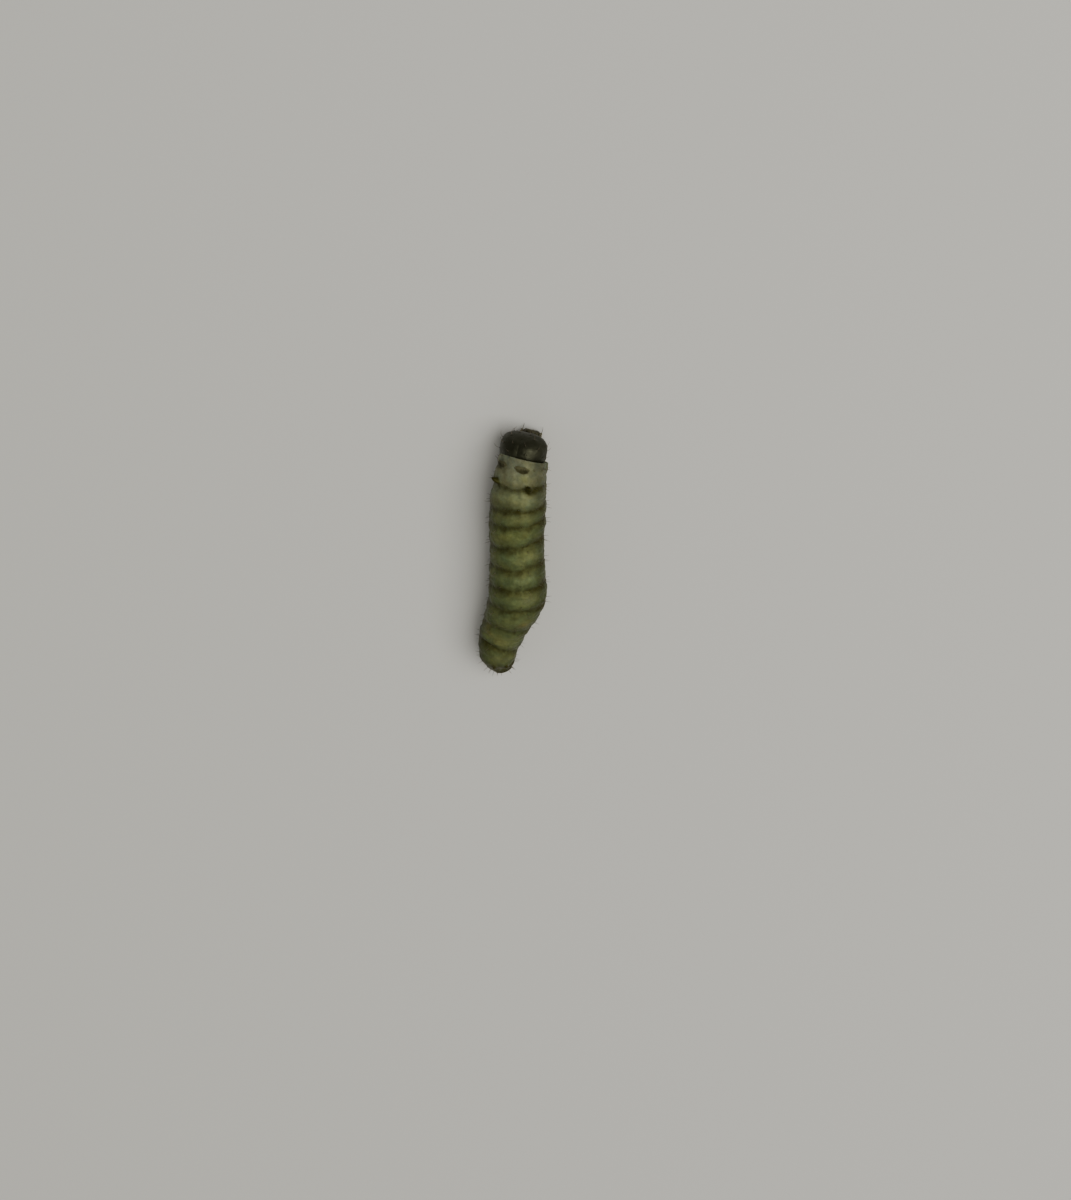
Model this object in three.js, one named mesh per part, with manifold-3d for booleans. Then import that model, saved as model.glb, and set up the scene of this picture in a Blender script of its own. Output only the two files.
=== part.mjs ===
// A monarch larva late in its first instar, at life size in millimetres.
// +Z is up, the head points along -Y, the tail along +Y, and +X is the larva's left.
import * as THREE from "three";
import { mergeVertices } from "three/addons/utils/BufferGeometryUtils.js";
import Module from "manifold-3d";

const wasm = await Module();
wasm.setup();

// Driving dimensions, in millimetres and degrees.
const JOINT_GAP = 0.01;
const SPINE = [
  [-0.067, -1.19, 0.36],
  [-0.052, -1.07, 0.393],
  [-0.018, -0.7, 0.425],
  [0.0, -0.214, 0.435],
  [0.0, 0.373, 0.43],
  [0.004, 0.69, 0.425],
  [0.095, 0.951, 0.4],
  [0.222, 1.22, 0.355],
  [0.275, 1.49, 0.32],
  [0.275, 1.69, 0.09],
];
// Even stations from the neck to the tail: half-widths, and degrees that the rings turn and roll leftwards.
const HALF_WIDTHS = [0.3, 0.336, 0.36, 0.34, 0.353, 0.367, 0.3, 0.245, 0.165];
const RING_TURNS = [10, 9, 0, -4, -4, -2, 8, 14, 8];
const RING_ROLLS = [24, 5, 0, 0, 0, 0, -4, -24, -34];
const HEIGHT_SHARE = 0.925;
const BELLY_SQUARENESS = 2.4;
const FOLD_DEPTH = 0.012;
const FOLD_WIDTH = 0.04;
const CREASE_DEPTH = 0.018;
const CREASE_WIDTH = 0.036;
const BODY_SIDES = 28;
const BODY_RINGS = 6;
const SEGMENTS = [
  ["thorax_1", 0.162],
  ["thorax_2", 0.286],
  ["thorax_3", 0.268],
  ["abdomen_1", 0.23],
  ["abdomen_2", 0.295],
  ["abdomen_3", 0.28],
  ["abdomen_4", 0.27],
  ["abdomen_5", 0.27],
  ["abdomen_6", 0.32],
  ["abdomen_7", 0.32],
  ["abdomen_8", 0.18],
  ["abdomen_9", 0.072],
  ["abdomen_10", 0.122],
];
const TAIL_END_SHARE = 0.16;
const NECK_PLATE = { fromNeck: 0.11, angle: 29, halfLength: 0.03, halfAngle: 18, threeCornered: 0.08 };
const ANAL_PLATE = { fromFold: 0.055, halfLength: 0.045, halfAngle: 42 };
const PLATE_THICKNESS = 0.014;
const RIM_SHARE = 0.4;

const HEAD_CENTRE = [-0.062, -1.275, 0.332];
const HEAD_TURN = -7;
const HEAD_ROLL = 6;
const HEAD_WIDTH = 0.6;
const HEAD_HEIGHT = 0.56;
const FACE_DEPTH = 0.225;
const NAPE_DEPTH = 0.2;
const PLAN_SQUARENESS = 2.7;
const VERTEX_CLEFT_DEPTH = 0.05;
const VERTEX_CLEFT_WIDTH = 0.13;
const CHEEK_NARROWING = 0.24;
const FACE_FLATNESS = 0.12;

const STEMMATA = { aside: 58, upward: -24, halfAside: 15, halfUpward: 17, firstTurn: -70, step: 44 };
const LENS_RADIUS = 0.021;
const LENS_COUNT = 6;
const LABRUM_CENTRE = new THREE.Vector3(0, -0.178, -0.196);
const LABRUM_HALF = new THREE.Vector3(0.082, 0.03, 0.04);
const MANDIBLE_CENTRE = new THREE.Vector3(0.062, -0.145, -0.255);
const MANDIBLE_HALF = new THREE.Vector3(0.052, 0.04, 0.06);
const LABIUM_CENTRE = new THREE.Vector3(0, 0, -0.272);
const LABIUM_HALF = new THREE.Vector3(0.085, 0.05, 0.045);
const SPINNERET_RADII = [0.022, 0.019, 0.013, 0.006];
const ANTENNA_RADII = [0.03, 0.029, 0.026, 0.02, 0.017, 0.007];

const LEG_LENGTHWAYS = 0.48;
const LEG_RADII = [0.062, 0.056, 0.042, 0.033, 0.024, 0.013];
// The leg's course: how far aside, how much of its reach forward, and how high.
const LEG_COURSE = [
  [0.115, -0.15, 0.215],
  [0.165, 0, 0.145],
  [0.222, 0.3, 0.105],
  [0.246, 0.7, 0.062],
  [0.236, 1, 0.022],
  [0.218, 1.1, -0.008],
];
const LEG_REACHES = { thorax_1: 0.06, thorax_2: 0.04, thorax_3: 0.02 };
const FULL_HALF_WIDTH = 0.36;
// A proleg's course: how far aside, as a share of its spread, and how high.
const PROLEG_COURSE = [
  [0.8, 0.24],
  [1, 0.12],
  [1.12, 0.04],
  [1.14, -0.012],
];
const PROLEG_RADII = [0.135, 0.125, 0.095, 0.068, 0.056];
// An anal proleg's course: how far aside, how far behind, and how high.
const ANAL_PROLEG_COURSE = [
  [0.06, -0.02, 0.2],
  [0.088, 0, 0.11],
  [0.1, 0.01, 0.045],
  [0.102, 0.012, -0.012],
];
const ANAL_PROLEG_RADII = [0.085, 0.08, 0.068, 0.056, 0.05];
const PROLEG_SPREAD = 0.155;
const FRONT_FILAMENT_ANGLE = 38;
const REAR_FILAMENT_ANGLE = 19;
const FRONT_FILAMENT_RADII = [0.05, 0.048, 0.042, 0.034, 0.014];
const REAR_FILAMENT_RADII = [0.032, 0.031, 0.027, 0.011];

const colours = { capsule: 0x1d1b15, skin: 0x8d8963, leg: 0x221d15, plate: 0x2b2417, lens: 0x0c0b09 };
const shines = { capsule: 0.28, skin: 0.5, leg: 0.35, plate: 0.4, lens: 0.12 };
const material = (name) =>
  new THREE.MeshStandardMaterial({ name, color: colours[name], roughness: shines[name], metalness: 0 });

// Helpers that bend a standard geometry into shape and join or cut closed bodies.
function warped(geometry, place) {
  const positions = geometry.getAttribute("position");
  const point = new THREE.Vector3();
  for (let i = 0; i < positions.count; i += 1) {
    point.fromBufferAttribute(positions, i);
    positions.setXYZ(i, ...place(point).toArray());
  }
  return geometry;
}

function solidOf(geometry) {
  geometry.deleteAttribute("normal");
  geometry.deleteAttribute("uv");
  const merged = mergeVertices(geometry, 1e-5);
  const vertProperties = new Float32Array(merged.getAttribute("position").array);
  const triVerts = new Uint32Array(merged.index.array);
  return new wasm.Manifold(new wasm.Mesh({ numProp: 3, vertProperties, triVerts }));
}

function geometryOf(solid) {
  const largest = solid.decompose().sort((a, b) => b.volume() - a.volume())[0];
  const { vertProperties, triVerts } = largest.getMesh();
  const geometry = new THREE.BufferGeometry();
  geometry.setAttribute("position", new THREE.BufferAttribute(vertProperties, 3));
  geometry.setIndex(new THREE.BufferAttribute(triVerts, 1));
  geometry.computeVertexNormals();
  return geometry;
}

function addMesh(group, name, solid, materialName) {
  const mesh = new THREE.Mesh(geometryOf(solid), material(materialName));
  mesh.name = name;
  group.add(mesh);
}

// How far out a squared circle lies where the round one has the point x, y.
const squared = (x, y, power) => (Math.abs(x) ** power + Math.abs(y) ** power) ** (-1 / power);

// The body is a run of rings along a curved spine, parted into its segments.
const spine = new THREE.CatmullRomCurve3(SPINE.map((point) => new THREE.Vector3(...point)));
spine.arcLengthDivisions = 600;
const spineLength = spine.getLength();
const stationCurve = (values) => {
  const stations = values.map((value, i) => new THREE.Vector2(i, value));
  return new THREE.SplineCurve(stations);
};
const widthCurve = stationCurve(HALF_WIDTHS);
const turnCurve = stationCurve(RING_TURNS);
const rollCurve = stationCurve(RING_ROLLS);
const statedLength = SEGMENTS.reduce((sum, segment) => sum + segment[1], 0);
const segments = [];
for (const [name, length] of SEGMENTS) {
  const start = segments.length ? segments.at(-1).end : 0;
  segments.push({ name, start, end: start + (length * spineLength) / statedLength });
}
const segmentNamed = (name) => segments.find((segment) => segment.name === name);

// The place and directions of the ring at s: it tips with the spine, and turns and rolls as stated.
function bodyFrame(s) {
  const share = THREE.MathUtils.clamp(s / spineLength, 0, 1);
  const centre = spine.getPointAt(share);
  const tangent = spine.getTangentAt(share);
  const turn = THREE.MathUtils.degToRad(turnCurve.getPoint(share).y);
  const level = Math.hypot(tangent.x, tangent.y);
  const along = new THREE.Vector3(level * Math.sin(turn), level * Math.cos(turn), tangent.z);
  const left = new THREE.Vector3().crossVectors(along, new THREE.Vector3(0, 0, 1)).normalize();
  left.applyAxisAngle(along, THREE.MathUtils.degToRad(rollCurve.getPoint(share).y));
  const up = new THREE.Vector3().crossVectors(left, along);
  return { centre, along, left, up };
}

// How far a ring stands in from the full girth, at the folds between segments and the crease in each.
function inset(s) {
  const segment = segments.find((each) => s <= each.end) ?? segments.at(-1);
  const middle = (segment.start + segment.end) / 2;
  const toFold = Math.min(s - segment.start, segment.end - s);
  const fold = FOLD_DEPTH * Math.exp(-((toFold / FOLD_WIDTH) ** 2));
  return fold + CREASE_DEPTH * Math.exp(-(((s - middle) / CREASE_WIDTH) ** 2));
}

function halfWidth(s) {
  const tail = segments.at(-1);
  const round = Math.max(0, (s - tail.start) / (tail.end - tail.start));
  const closing = Math.max(TAIL_END_SHARE, Math.sqrt(Math.max(0, 1 - round ** 2.4)));
  return (widthCurve.getPoint(THREE.MathUtils.clamp(s / spineLength, 0, 1)).y - inset(s)) * closing;
}

// A point of the body's surface, from the share of the half-width to the left and of the half-height up.
function bodyPoint(s, leftShare, upShare, lift = 0) {
  const { centre, left, up } = bodyFrame(s);
  const reach = Math.hypot(leftShare, upShare);
  const square = upShare < 0 ? squared(leftShare / reach, upShare / reach, BELLY_SQUARENESS) : 1;
  const width = halfWidth(s) * square + lift;
  const height = halfWidth(s) * HEIGHT_SHARE * square + lift;
  return centre.addScaledVector(left, leftShare * width).addScaledVector(up, upShare * height);
}

// A point of the body's surface at an angle from the top, counted towards the left.
function backPoint(s, degrees, lift) {
  const angle = THREE.MathUtils.degToRad(degrees);
  return bodyPoint(s, Math.sin(angle), Math.cos(angle), lift);
}

function ringRows(segment) {
  const start = segment.start + JOINT_GAP / 2;
  const end = segment.end - JOINT_GAP / 2;
  const isTail = segment === segments.at(-1);
  const rows = [];
  for (let i = 0; i <= BODY_RINGS; i += 1) {
    const share = i / BODY_RINGS;
    rows.push(start + (end - start) * (isTail ? Math.sin((share * Math.PI) / 2) : share));
  }
  return rows;
}

function torso(rows, lift) {
  const last = rows.length - 1;
  const geometry = new THREE.CylinderGeometry(1, 1, last, BODY_SIDES, last);
  return solidOf(
    warped(geometry, (p) => bodyPoint(rows[Math.round(p.y + last / 2)], p.x, p.z, lift)),
  );
}

const wholeTorso = torso(segments.flatMap(ringRows), JOINT_GAP);

// A tapered limb along a curve through the given points, with a radius at each of even steps.
function limb(points, radii, sides = 10, rings = 10) {
  const path = new THREE.CatmullRomCurve3(points);
  const girth = stationCurve(radii);
  const aside = new THREE.Vector3(0.31, 0.9, 0.17);
  const geometry = new THREE.CylinderGeometry(1, 1, 1, sides, rings);
  return warped(geometry, (p) => {
    const share = THREE.MathUtils.clamp(p.y + 0.5, 0, 1);
    const along = path.getTangentAt(share);
    const across = new THREE.Vector3().crossVectors(along, aside).normalize();
    const over = new THREE.Vector3().crossVectors(across, along);
    const radius = girth.getPoint(share).y;
    return path
      .getPointAt(share)
      .addScaledVector(across, p.x * radius)
      .addScaledVector(over, p.z * radius);
  });
}

const below = solidOf(new THREE.BoxGeometry(20, 20, 1).translate(0, 0, -0.5));

// The head capsule in its own frame: left along X, backwards along Y and up along Z.
function capsulePoint(p, lift) {
  const inUpper = THREE.MathUtils.smoothstep(p.z, 0, 0.9);
  const cleft = VERTEX_CLEFT_DEPTH * Math.exp(-((p.x / VERTEX_CLEFT_WIDTH) ** 2)) * inUpper;
  const inLower = THREE.MathUtils.smoothstep(-p.z, 0.05, 1);
  const around = Math.hypot(p.x, p.y);
  let square = 1;
  if (around > 1e-6) {
    square += (squared(p.x / around, p.y / around, PLAN_SQUARENESS) - 1) * around ** 2;
  }
  const width = (HEAD_WIDTH / 2) * (1 - CHEEK_NARROWING * inLower) * square + lift;
  const flat = p.y < 0 ? 1 - FACE_FLATNESS * (1 - p.x * p.x) * inLower : 1;
  const depth = (p.y < 0 ? FACE_DEPTH : NAPE_DEPTH) * flat * square + lift;
  const height = HEAD_HEIGHT / 2 + lift;
  return new THREE.Vector3(p.x * width, p.y * depth, p.z * height).multiplyScalar(1 - cleft);
}

function capsule(lift) {
  const geometry = new THREE.SphereGeometry(1, 32, 20).rotateX(Math.PI / 2);
  return warped(geometry, (p) => capsulePoint(p, lift));
}

const headFrame = new THREE.Group();
headFrame.position.set(...HEAD_CENTRE);
headFrame.rotation.set(0, THREE.MathUtils.degToRad(HEAD_ROLL), THREE.MathUtils.degToRad(HEAD_TURN), "ZYX");
headFrame.updateMatrixWorld();
const capsuleClear = solidOf(capsule(JOINT_GAP));
const capsuleClearInBody = solidOf(capsule(JOINT_GAP).applyMatrix4(headFrame.matrixWorld));

// A place on the capsule: degrees to the side from the front, and degrees up.
function facePoint(side, aside, upward, lift = 0) {
  const around = THREE.MathUtils.degToRad(aside);
  const rise = THREE.MathUtils.degToRad(upward);
  const unit = new THREE.Vector3(
    side * Math.sin(around) * Math.cos(rise),
    -Math.cos(around) * Math.cos(rise),
    Math.sin(rise),
  );
  return capsulePoint(unit, lift);
}

function ball(centre, radius) {
  return new THREE.SphereGeometry(radius, 10, 6).translate(...centre.toArray());
}

// Six small lenses on a low curved ridge on each cheek.
function stemmata(side) {
  const { aside, upward, halfAside, halfUpward, firstTurn, step } = STEMMATA;
  const ridgePoints = [];
  const lenses = [];
  for (let i = 0; i < LENS_COUNT; i += 1) {
    const turn = THREE.MathUtils.degToRad(firstTurn + i * step);
    const place = [aside + halfAside * Math.cos(turn), upward + halfUpward * Math.sin(turn)];
    lenses.push(solidOf(ball(facePoint(side, ...place, -0.1 * LENS_RADIUS), LENS_RADIUS)));
    ridgePoints.push(facePoint(side, ...place, 0.15 * LENS_RADIUS));
  }
  let eye = solidOf(limb(ridgePoints, [0.008, 0.01, 0.01, 0.008], 6, 10));
  for (const lens of lenses) {
    eye = eye.add(lens);
  }
  return eye.subtract(solidOf(capsule(JOINT_GAP / 2)));
}

function antenna(side) {
  const root = facePoint(side, 40, -44, -0.03);
  const stem = facePoint(side, 38, -44, 0.02);
  const tip = facePoint(side, 33, -46, 0.085);
  const geometry = limb([root, stem, tip], ANTENNA_RADII);
  return solidOf(geometry).subtract(capsuleClear);
}

// The upper lip, a shallow shield with a notch in its lower edge.
function labrum(lift) {
  const geometry = new THREE.SphereGeometry(1, 16, 10);
  return solidOf(
    warped(geometry, (p) => {
      const notch = p.z < 0 ? 0.35 * Math.exp(-((p.x / 0.22) ** 2)) : 0;
      const half = LABRUM_HALF.clone().multiply(new THREE.Vector3(1, 1, 1 - notch)).addScalar(lift);
      return p.clone().multiply(half).add(LABRUM_CENTRE);
    }),
  );
}

// A mandible, a blunt wedge that closes against its mate just off the middle line.
function mandible(side) {
  const geometry = new THREE.SphereGeometry(1, 14, 10);
  const turn = new THREE.Matrix4().makeRotationY(side * 0.35);
  const wedge = warped(geometry, (p) => {
    const inner = 1 - 0.25 * THREE.MathUtils.smoothstep(-p.z, 0, 1);
    return new THREE.Vector3(p.x * inner, p.y, p.z).multiply(MANDIBLE_HALF);
  });
  wedge.applyMatrix4(turn).translate(side * MANDIBLE_CENTRE.x, MANDIBLE_CENTRE.y, MANDIBLE_CENTRE.z);
  const halfSpace = new THREE.BoxGeometry(1, 1, 1).translate(side * (0.5 + JOINT_GAP / 2), 0, 0);
  return solidOf(wedge).intersect(solidOf(halfSpace)).subtract(capsuleClear).subtract(labrum(JOINT_GAP));
}

// The lower lip with the spinneret's short cone at its front.
function labium() {
  const pad = new THREE.SphereGeometry(1, 14, 8);
  pad.scale(...LABIUM_HALF.toArray()).translate(...LABIUM_CENTRE.toArray());
  const at = (ahead, down) => LABIUM_CENTRE.clone().add(new THREE.Vector3(0, -ahead, -down));
  const path = [at(0.01, 0.008), at(0.035, 0.028), at(0.055, 0.05)];
  const cone = limb(path, SPINNERET_RADII, 6, 4);
  return solidOf(pad).add(solidOf(cone)).subtract(capsuleClear);
}

// A walking leg of the thorax, in the body's frame at its place: out, down and in again to the floor.
function leg(segmentName, side) {
  const segment = segmentNamed(segmentName);
  const s = segment.start + (segment.end - segment.start) * LEG_LENGTHWAYS;
  const { centre, along, left } = bodyFrame(s);
  const spread = (side * halfWidth(s)) / FULL_HALF_WIDTH;
  const path = LEG_COURSE.map(([aside, ahead, height]) =>
    new THREE.Vector3(centre.x, centre.y, 0)
      .addScaledVector(left, spread * aside)
      .addScaledVector(along, -ahead * LEG_REACHES[segmentName])
      .setZ(height),
  );
  return solidOf(limb(path, LEG_RADII, 10, 14)).subtract(wholeTorso).subtract(below);
}

// A stumpy foot under the abdomen that spreads a little where it meets the floor.
function proleg(segmentName, side) {
  const segment = segmentNamed(segmentName);
  const s = (segment.start + segment.end) / 2;
  const { centre, left } = bodyFrame(s);
  const spread = (side * PROLEG_SPREAD * halfWidth(s)) / FULL_HALF_WIDTH;
  const path = PROLEG_COURSE.map(([aside, height]) =>
    new THREE.Vector3(centre.x, centre.y, 0).addScaledVector(left, spread * aside).setZ(height),
  );
  return solidOf(limb(path, PROLEG_RADII, 14, 8)).subtract(wholeTorso).subtract(below);
}

function analProleg(side) {
  const tail = segmentNamed("abdomen_10");
  const { centre, along, left } = bodyFrame(tail.start + 0.2 * (tail.end - tail.start));
  const path = ANAL_PROLEG_COURSE.map(([aside, behind, height]) =>
    new THREE.Vector3(centre.x, centre.y, 0)
      .addScaledVector(left, side * aside)
      .addScaledVector(along, behind)
      .setZ(height),
  );
  return solidOf(limb(path, ANAL_PROLEG_RADII, 12, 8)).subtract(wholeTorso).subtract(below);
}

// A fleshy bud on the back that leans out and forwards.
function filament(segmentName, place, degrees, reach, radii) {
  const segment = segmentNamed(segmentName);
  const s = segment.start + (segment.end - segment.start) * place;
  const lean = 0.3 * reach;
  const path = [
    backPoint(s, degrees, -0.04),
    backPoint(s, degrees, 0.01),
    backPoint(s - lean * 0.5, degrees * 1.08, reach * 0.6),
    backPoint(s - lean, degrees * 1.16, reach),
  ];
  return solidOf(limb(path, radii, 10, 8)).subtract(wholeTorso);
}

// A hard plate that lies on the back, domed, with a rounded three-cornered or oval outline.
function plate(s, degrees, halfLength, halfDegrees, threeCornered = 0) {
  const geometry = new THREE.SphereGeometry(1, 20, 10);
  return solidOf(
    warped(geometry, (p) => {
      const corners = 1 + threeCornered * Math.cos(3 * Math.atan2(p.y, p.x) + Math.PI / 2);
      const lift = JOINT_GAP + (p.z > -0.01 ? PLATE_THICKNESS * (RIM_SHARE + (1 - RIM_SHARE) * p.z) : 0);
      return backPoint(s + p.y * halfLength * corners, degrees + p.x * halfDegrees * corners, lift);
    }),
  );
}

const larva = new THREE.Group();

addMesh(headFrame, "head", solidOf(capsule(0)), "capsule");
addMesh(headFrame, "labrum", labrum(0).subtract(capsuleClear), "capsule");
addMesh(headFrame, "labium", labium(), "plate");
for (const [sideName, side] of [["left", 1], ["right", -1]]) {
  addMesh(headFrame, `stemmata_${sideName}`, stemmata(side), "lens");
  addMesh(headFrame, `antenna_${sideName}`, antenna(side), "skin");
  addMesh(headFrame, `mandible_${sideName}`, mandible(side), "plate");
}
larva.add(headFrame);

for (const segment of segments) {
  const body = torso(ringRows(segment), 0);
  const isFirst = segment === segments[0];
  addMesh(larva, segment.name, isFirst ? body.subtract(capsuleClearInBody) : body, "skin");
}

for (const [sideName, side] of [["left", 1], ["right", -1]]) {
  for (const number of [1, 2, 3]) {
    addMesh(larva, `leg_${number}_${sideName}`, leg(`thorax_${number}`, side), "leg");
  }
  for (const number of [3, 4, 5, 6]) {
    addMesh(larva, `proleg_${number}_${sideName}`, proleg(`abdomen_${number}`, side), "skin");
  }
  addMesh(larva, `proleg_10_${sideName}`, analProleg(side), "skin");
  const frontBud = filament("thorax_2", 0.54, side * FRONT_FILAMENT_ANGLE, 0.075, FRONT_FILAMENT_RADII);
  addMesh(larva, `front_filament_${sideName}`, frontBud, "skin");
  const rearBud = filament("abdomen_8", 0.5, side * REAR_FILAMENT_ANGLE, 0.026, REAR_FILAMENT_RADII);
  addMesh(larva, `rear_filament_${sideName}`, rearBud, "skin");
  const { fromNeck, angle, halfLength, halfAngle, threeCornered } = NECK_PLATE;
  const neckPlate = plate(fromNeck, side * angle, halfLength, halfAngle, threeCornered);
  addMesh(larva, `neck_plate_${sideName}`, neckPlate.subtract(capsuleClearInBody), "plate");
}
const analPlateMiddle = segmentNamed("abdomen_10").start + ANAL_PLATE.fromFold;
const analPlate = plate(analPlateMiddle, 0, ANAL_PLATE.halfLength, ANAL_PLATE.halfAngle);
addMesh(larva, "anal_plate", analPlate, "plate");

// The origin is the middle of the larva's box in plan, on the floor.
const middle = new THREE.Box3().setFromObject(larva, true).getCenter(new THREE.Vector3());
larva.position.set(-middle.x, -middle.y, 0);

export default larva;
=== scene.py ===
"""Dresses a life-size monarch larva, late in its first instar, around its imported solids."""

import logging
import math
from collections.abc import Callable, Iterator, Sequence
from dataclasses import dataclass, field
from enum import Enum
from functools import partial

import bmesh
import bpy
import numpy as np
from mathutils import Matrix, Vector


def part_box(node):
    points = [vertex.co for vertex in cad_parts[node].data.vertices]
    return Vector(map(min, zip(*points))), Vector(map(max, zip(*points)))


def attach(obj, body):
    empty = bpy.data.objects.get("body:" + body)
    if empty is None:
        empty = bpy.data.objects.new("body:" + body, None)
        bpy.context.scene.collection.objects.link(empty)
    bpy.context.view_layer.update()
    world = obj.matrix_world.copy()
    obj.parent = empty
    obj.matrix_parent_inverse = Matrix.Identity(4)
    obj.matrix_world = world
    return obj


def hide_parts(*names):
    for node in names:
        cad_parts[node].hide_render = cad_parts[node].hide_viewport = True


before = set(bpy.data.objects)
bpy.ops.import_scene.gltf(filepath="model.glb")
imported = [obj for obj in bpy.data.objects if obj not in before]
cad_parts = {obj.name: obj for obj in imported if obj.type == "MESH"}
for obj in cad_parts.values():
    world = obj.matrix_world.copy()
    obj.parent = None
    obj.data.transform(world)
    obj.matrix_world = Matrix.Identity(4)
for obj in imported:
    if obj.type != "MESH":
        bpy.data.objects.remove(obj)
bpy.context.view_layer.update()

MM = 0.001
BODY = "root"
SIDES = {"left": 1, "right": -1}
LOG = logging.getLogger("larva")

# How far above the floor the lowest points stay, in millimetres.
FLOOR_GAP = 0.0005
# Where the legs' hips lie along the thorax segments.
HIP_PLACE = 0.48
# What divisors are kept above.
SMALL, TINY = 1e-6, 1e-9

Points = np.ndarray
Placer = Callable[[Points], Points]
Triple = tuple[float, float, float]
Colour = Triple
Material = bpy.types.Material
Node = bpy.types.Node
Socket = bpy.types.NodeSocket


class Slot(Enum):
    """Names of material slots, one for each kind of finish."""

    SKIN = "skin"
    CAPSULE = "capsule"
    PLATE = "plate"
    LEG = "leg"
    LENS = "lens"


def smooth_step(values: Points, low: float, high: float) -> Points:
    """An eased ramp.

    Args:
        values: Where the ramp is read.
        low: Where it leaves 0.
        high: Where it reaches 1.

    Returns:
        Values from 0 to 1.
    """
    share = np.clip((values - low) / (high - low), 0, 1)
    return share * share * (3 - 2 * share)


def bell(values: Points, width: float) -> Points:
    """A bell curve of the given width around 0."""
    return np.exp(-((values / width) ** 2))


def swell(values: Points, reach: float) -> Points:
    """A rounded rise from 0 at 0 to 1 at the given reach and beyond."""
    return 0.5 - 0.5 * np.cos(np.pi * np.clip(values / reach, 0, 1))


def even(value: float) -> Placer:
    """A mark with one value all over a form."""
    return lambda unit: np.full(len(unit), float(value))


def toward_tip(unit: Points) -> Points:
    """A mark that goes from 0 at a form's root to 1 at its tip."""
    return (unit[:, 2] + 1) / 2


def above_floor(points: Points) -> Points:
    """The points, with those below the floor raised to just above it."""
    points[:, 2] = np.maximum(points[:, 2], FLOOR_GAP)
    return points


def direction(side: int, aside: float, upward: float) -> Points:
    """A way out of the head.

    Args:
        side: 1 for the left and -1 for the right.
        aside: Degrees from straight ahead to that side.
        upward: Degrees above the level.

    Returns:
        The way as a point of the unit sphere.
    """
    around, rise = math.radians(aside), math.radians(upward)
    level = math.cos(rise)
    return np.array([side * math.sin(around) * level, -math.cos(around) * level, math.sin(rise)])


def squared(x: Points, y: Points, power: float) -> Points:
    """How far out a squared circle lies where the round one has the points x, y."""
    return np.maximum(np.abs(x) ** power + np.abs(y) ** power, TINY) ** (-1 / power)


def station_curve(knots: Sequence[float], share: Points) -> Points:
    """A smooth curve through values at even steps.

    Args:
        knots: The values, evenly spaced from share 0 to share 1.
        share: Where the curve is read.

    Returns:
        The curve's values.
    """
    values = np.asarray(knots, float)
    last = len(values) - 1
    at = np.clip(share, 0, 1) * last
    low = np.minimum(at.astype(int), last - 1)
    t = at - low
    before, start = values[np.maximum(low - 1, 0)], values[low]
    end, after = values[low + 1], values[np.minimum(low + 2, last)]
    slope_in, slope_out = (end - before) / 2, (after - start) / 2
    cubic = (2 * start - 2 * end + slope_in + slope_out) * t**3
    square = (-3 * start + 3 * end - 2 * slope_in - slope_out) * t**2
    return cubic + square + slope_in * t + start


def smooth_course(points: Sequence[Sequence[float]], per_span: int = 80) -> Points:
    """Dense points on the centripetal curve through a few given ones.

    Args:
        points: The given points, in millimetres.
        per_span: How many steps each span is cut into.

    Returns:
        The dense points, one a row.
    """
    p = np.asarray(points, float)
    p = np.vstack([2 * p[0] - p[1], p, 2 * p[-1] - p[-2]])
    t = np.linspace(0, 1, per_span, endpoint=False)[:, None]
    spans = []
    for a, b, c, d in zip(p, p[1:], p[2:], p[3:]):
        gap_1, gap_2, gap_3 = (np.linalg.norm(v - u) ** 0.5 for u, v in ((a, b), (b, c), (c, d)))
        slope_in = ((b - a) / gap_1 - (c - a) / (gap_1 + gap_2) + (c - b) / gap_2) * gap_2
        slope_out = ((c - b) / gap_2 - (d - b) / (gap_2 + gap_3) + (d - c) / gap_3) * gap_2
        cubic = (2 * b - 2 * c + slope_in + slope_out) * t**3
        spans.append(cubic + (3 * c - 3 * b - 2 * slope_in - slope_out) * t**2 + slope_in * t + b)
    return np.vstack([*spans, p[-2:-1]])


@dataclass(frozen=True)
class Ripple:
    """A smooth random field made of sine waves in many directions.

    Attributes:
        wavelength: The length of its waves, in millimetres.
        seed: Sets the draw.
        waves: How many waves are summed.
    """

    wavelength: float
    seed: int
    waves: int = 16

    def at(self, points: Points) -> Points:
        """The field at the given points, mostly within -1 and 1.

        Args:
            points: Points to read it at.

        Returns:
            The field's values.
        """
        draw = np.random.default_rng(self.seed)
        ways = draw.normal(size=(self.waves, 3))
        ways /= np.linalg.norm(ways, axis=1)[:, None]
        rates = 2 * np.pi / (self.wavelength * draw.uniform(0.6, 1.5, self.waves))
        phases = draw.uniform(0, 2 * np.pi, self.waves)
        return np.sin(points @ (ways * rates[:, None]).T + phases).sum(1) / np.sqrt(self.waves)


@dataclass(frozen=True)
class Rings:
    """Rings of the body, one a row."""

    centre: Points
    along: Points
    left: Points
    up: Points


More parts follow.
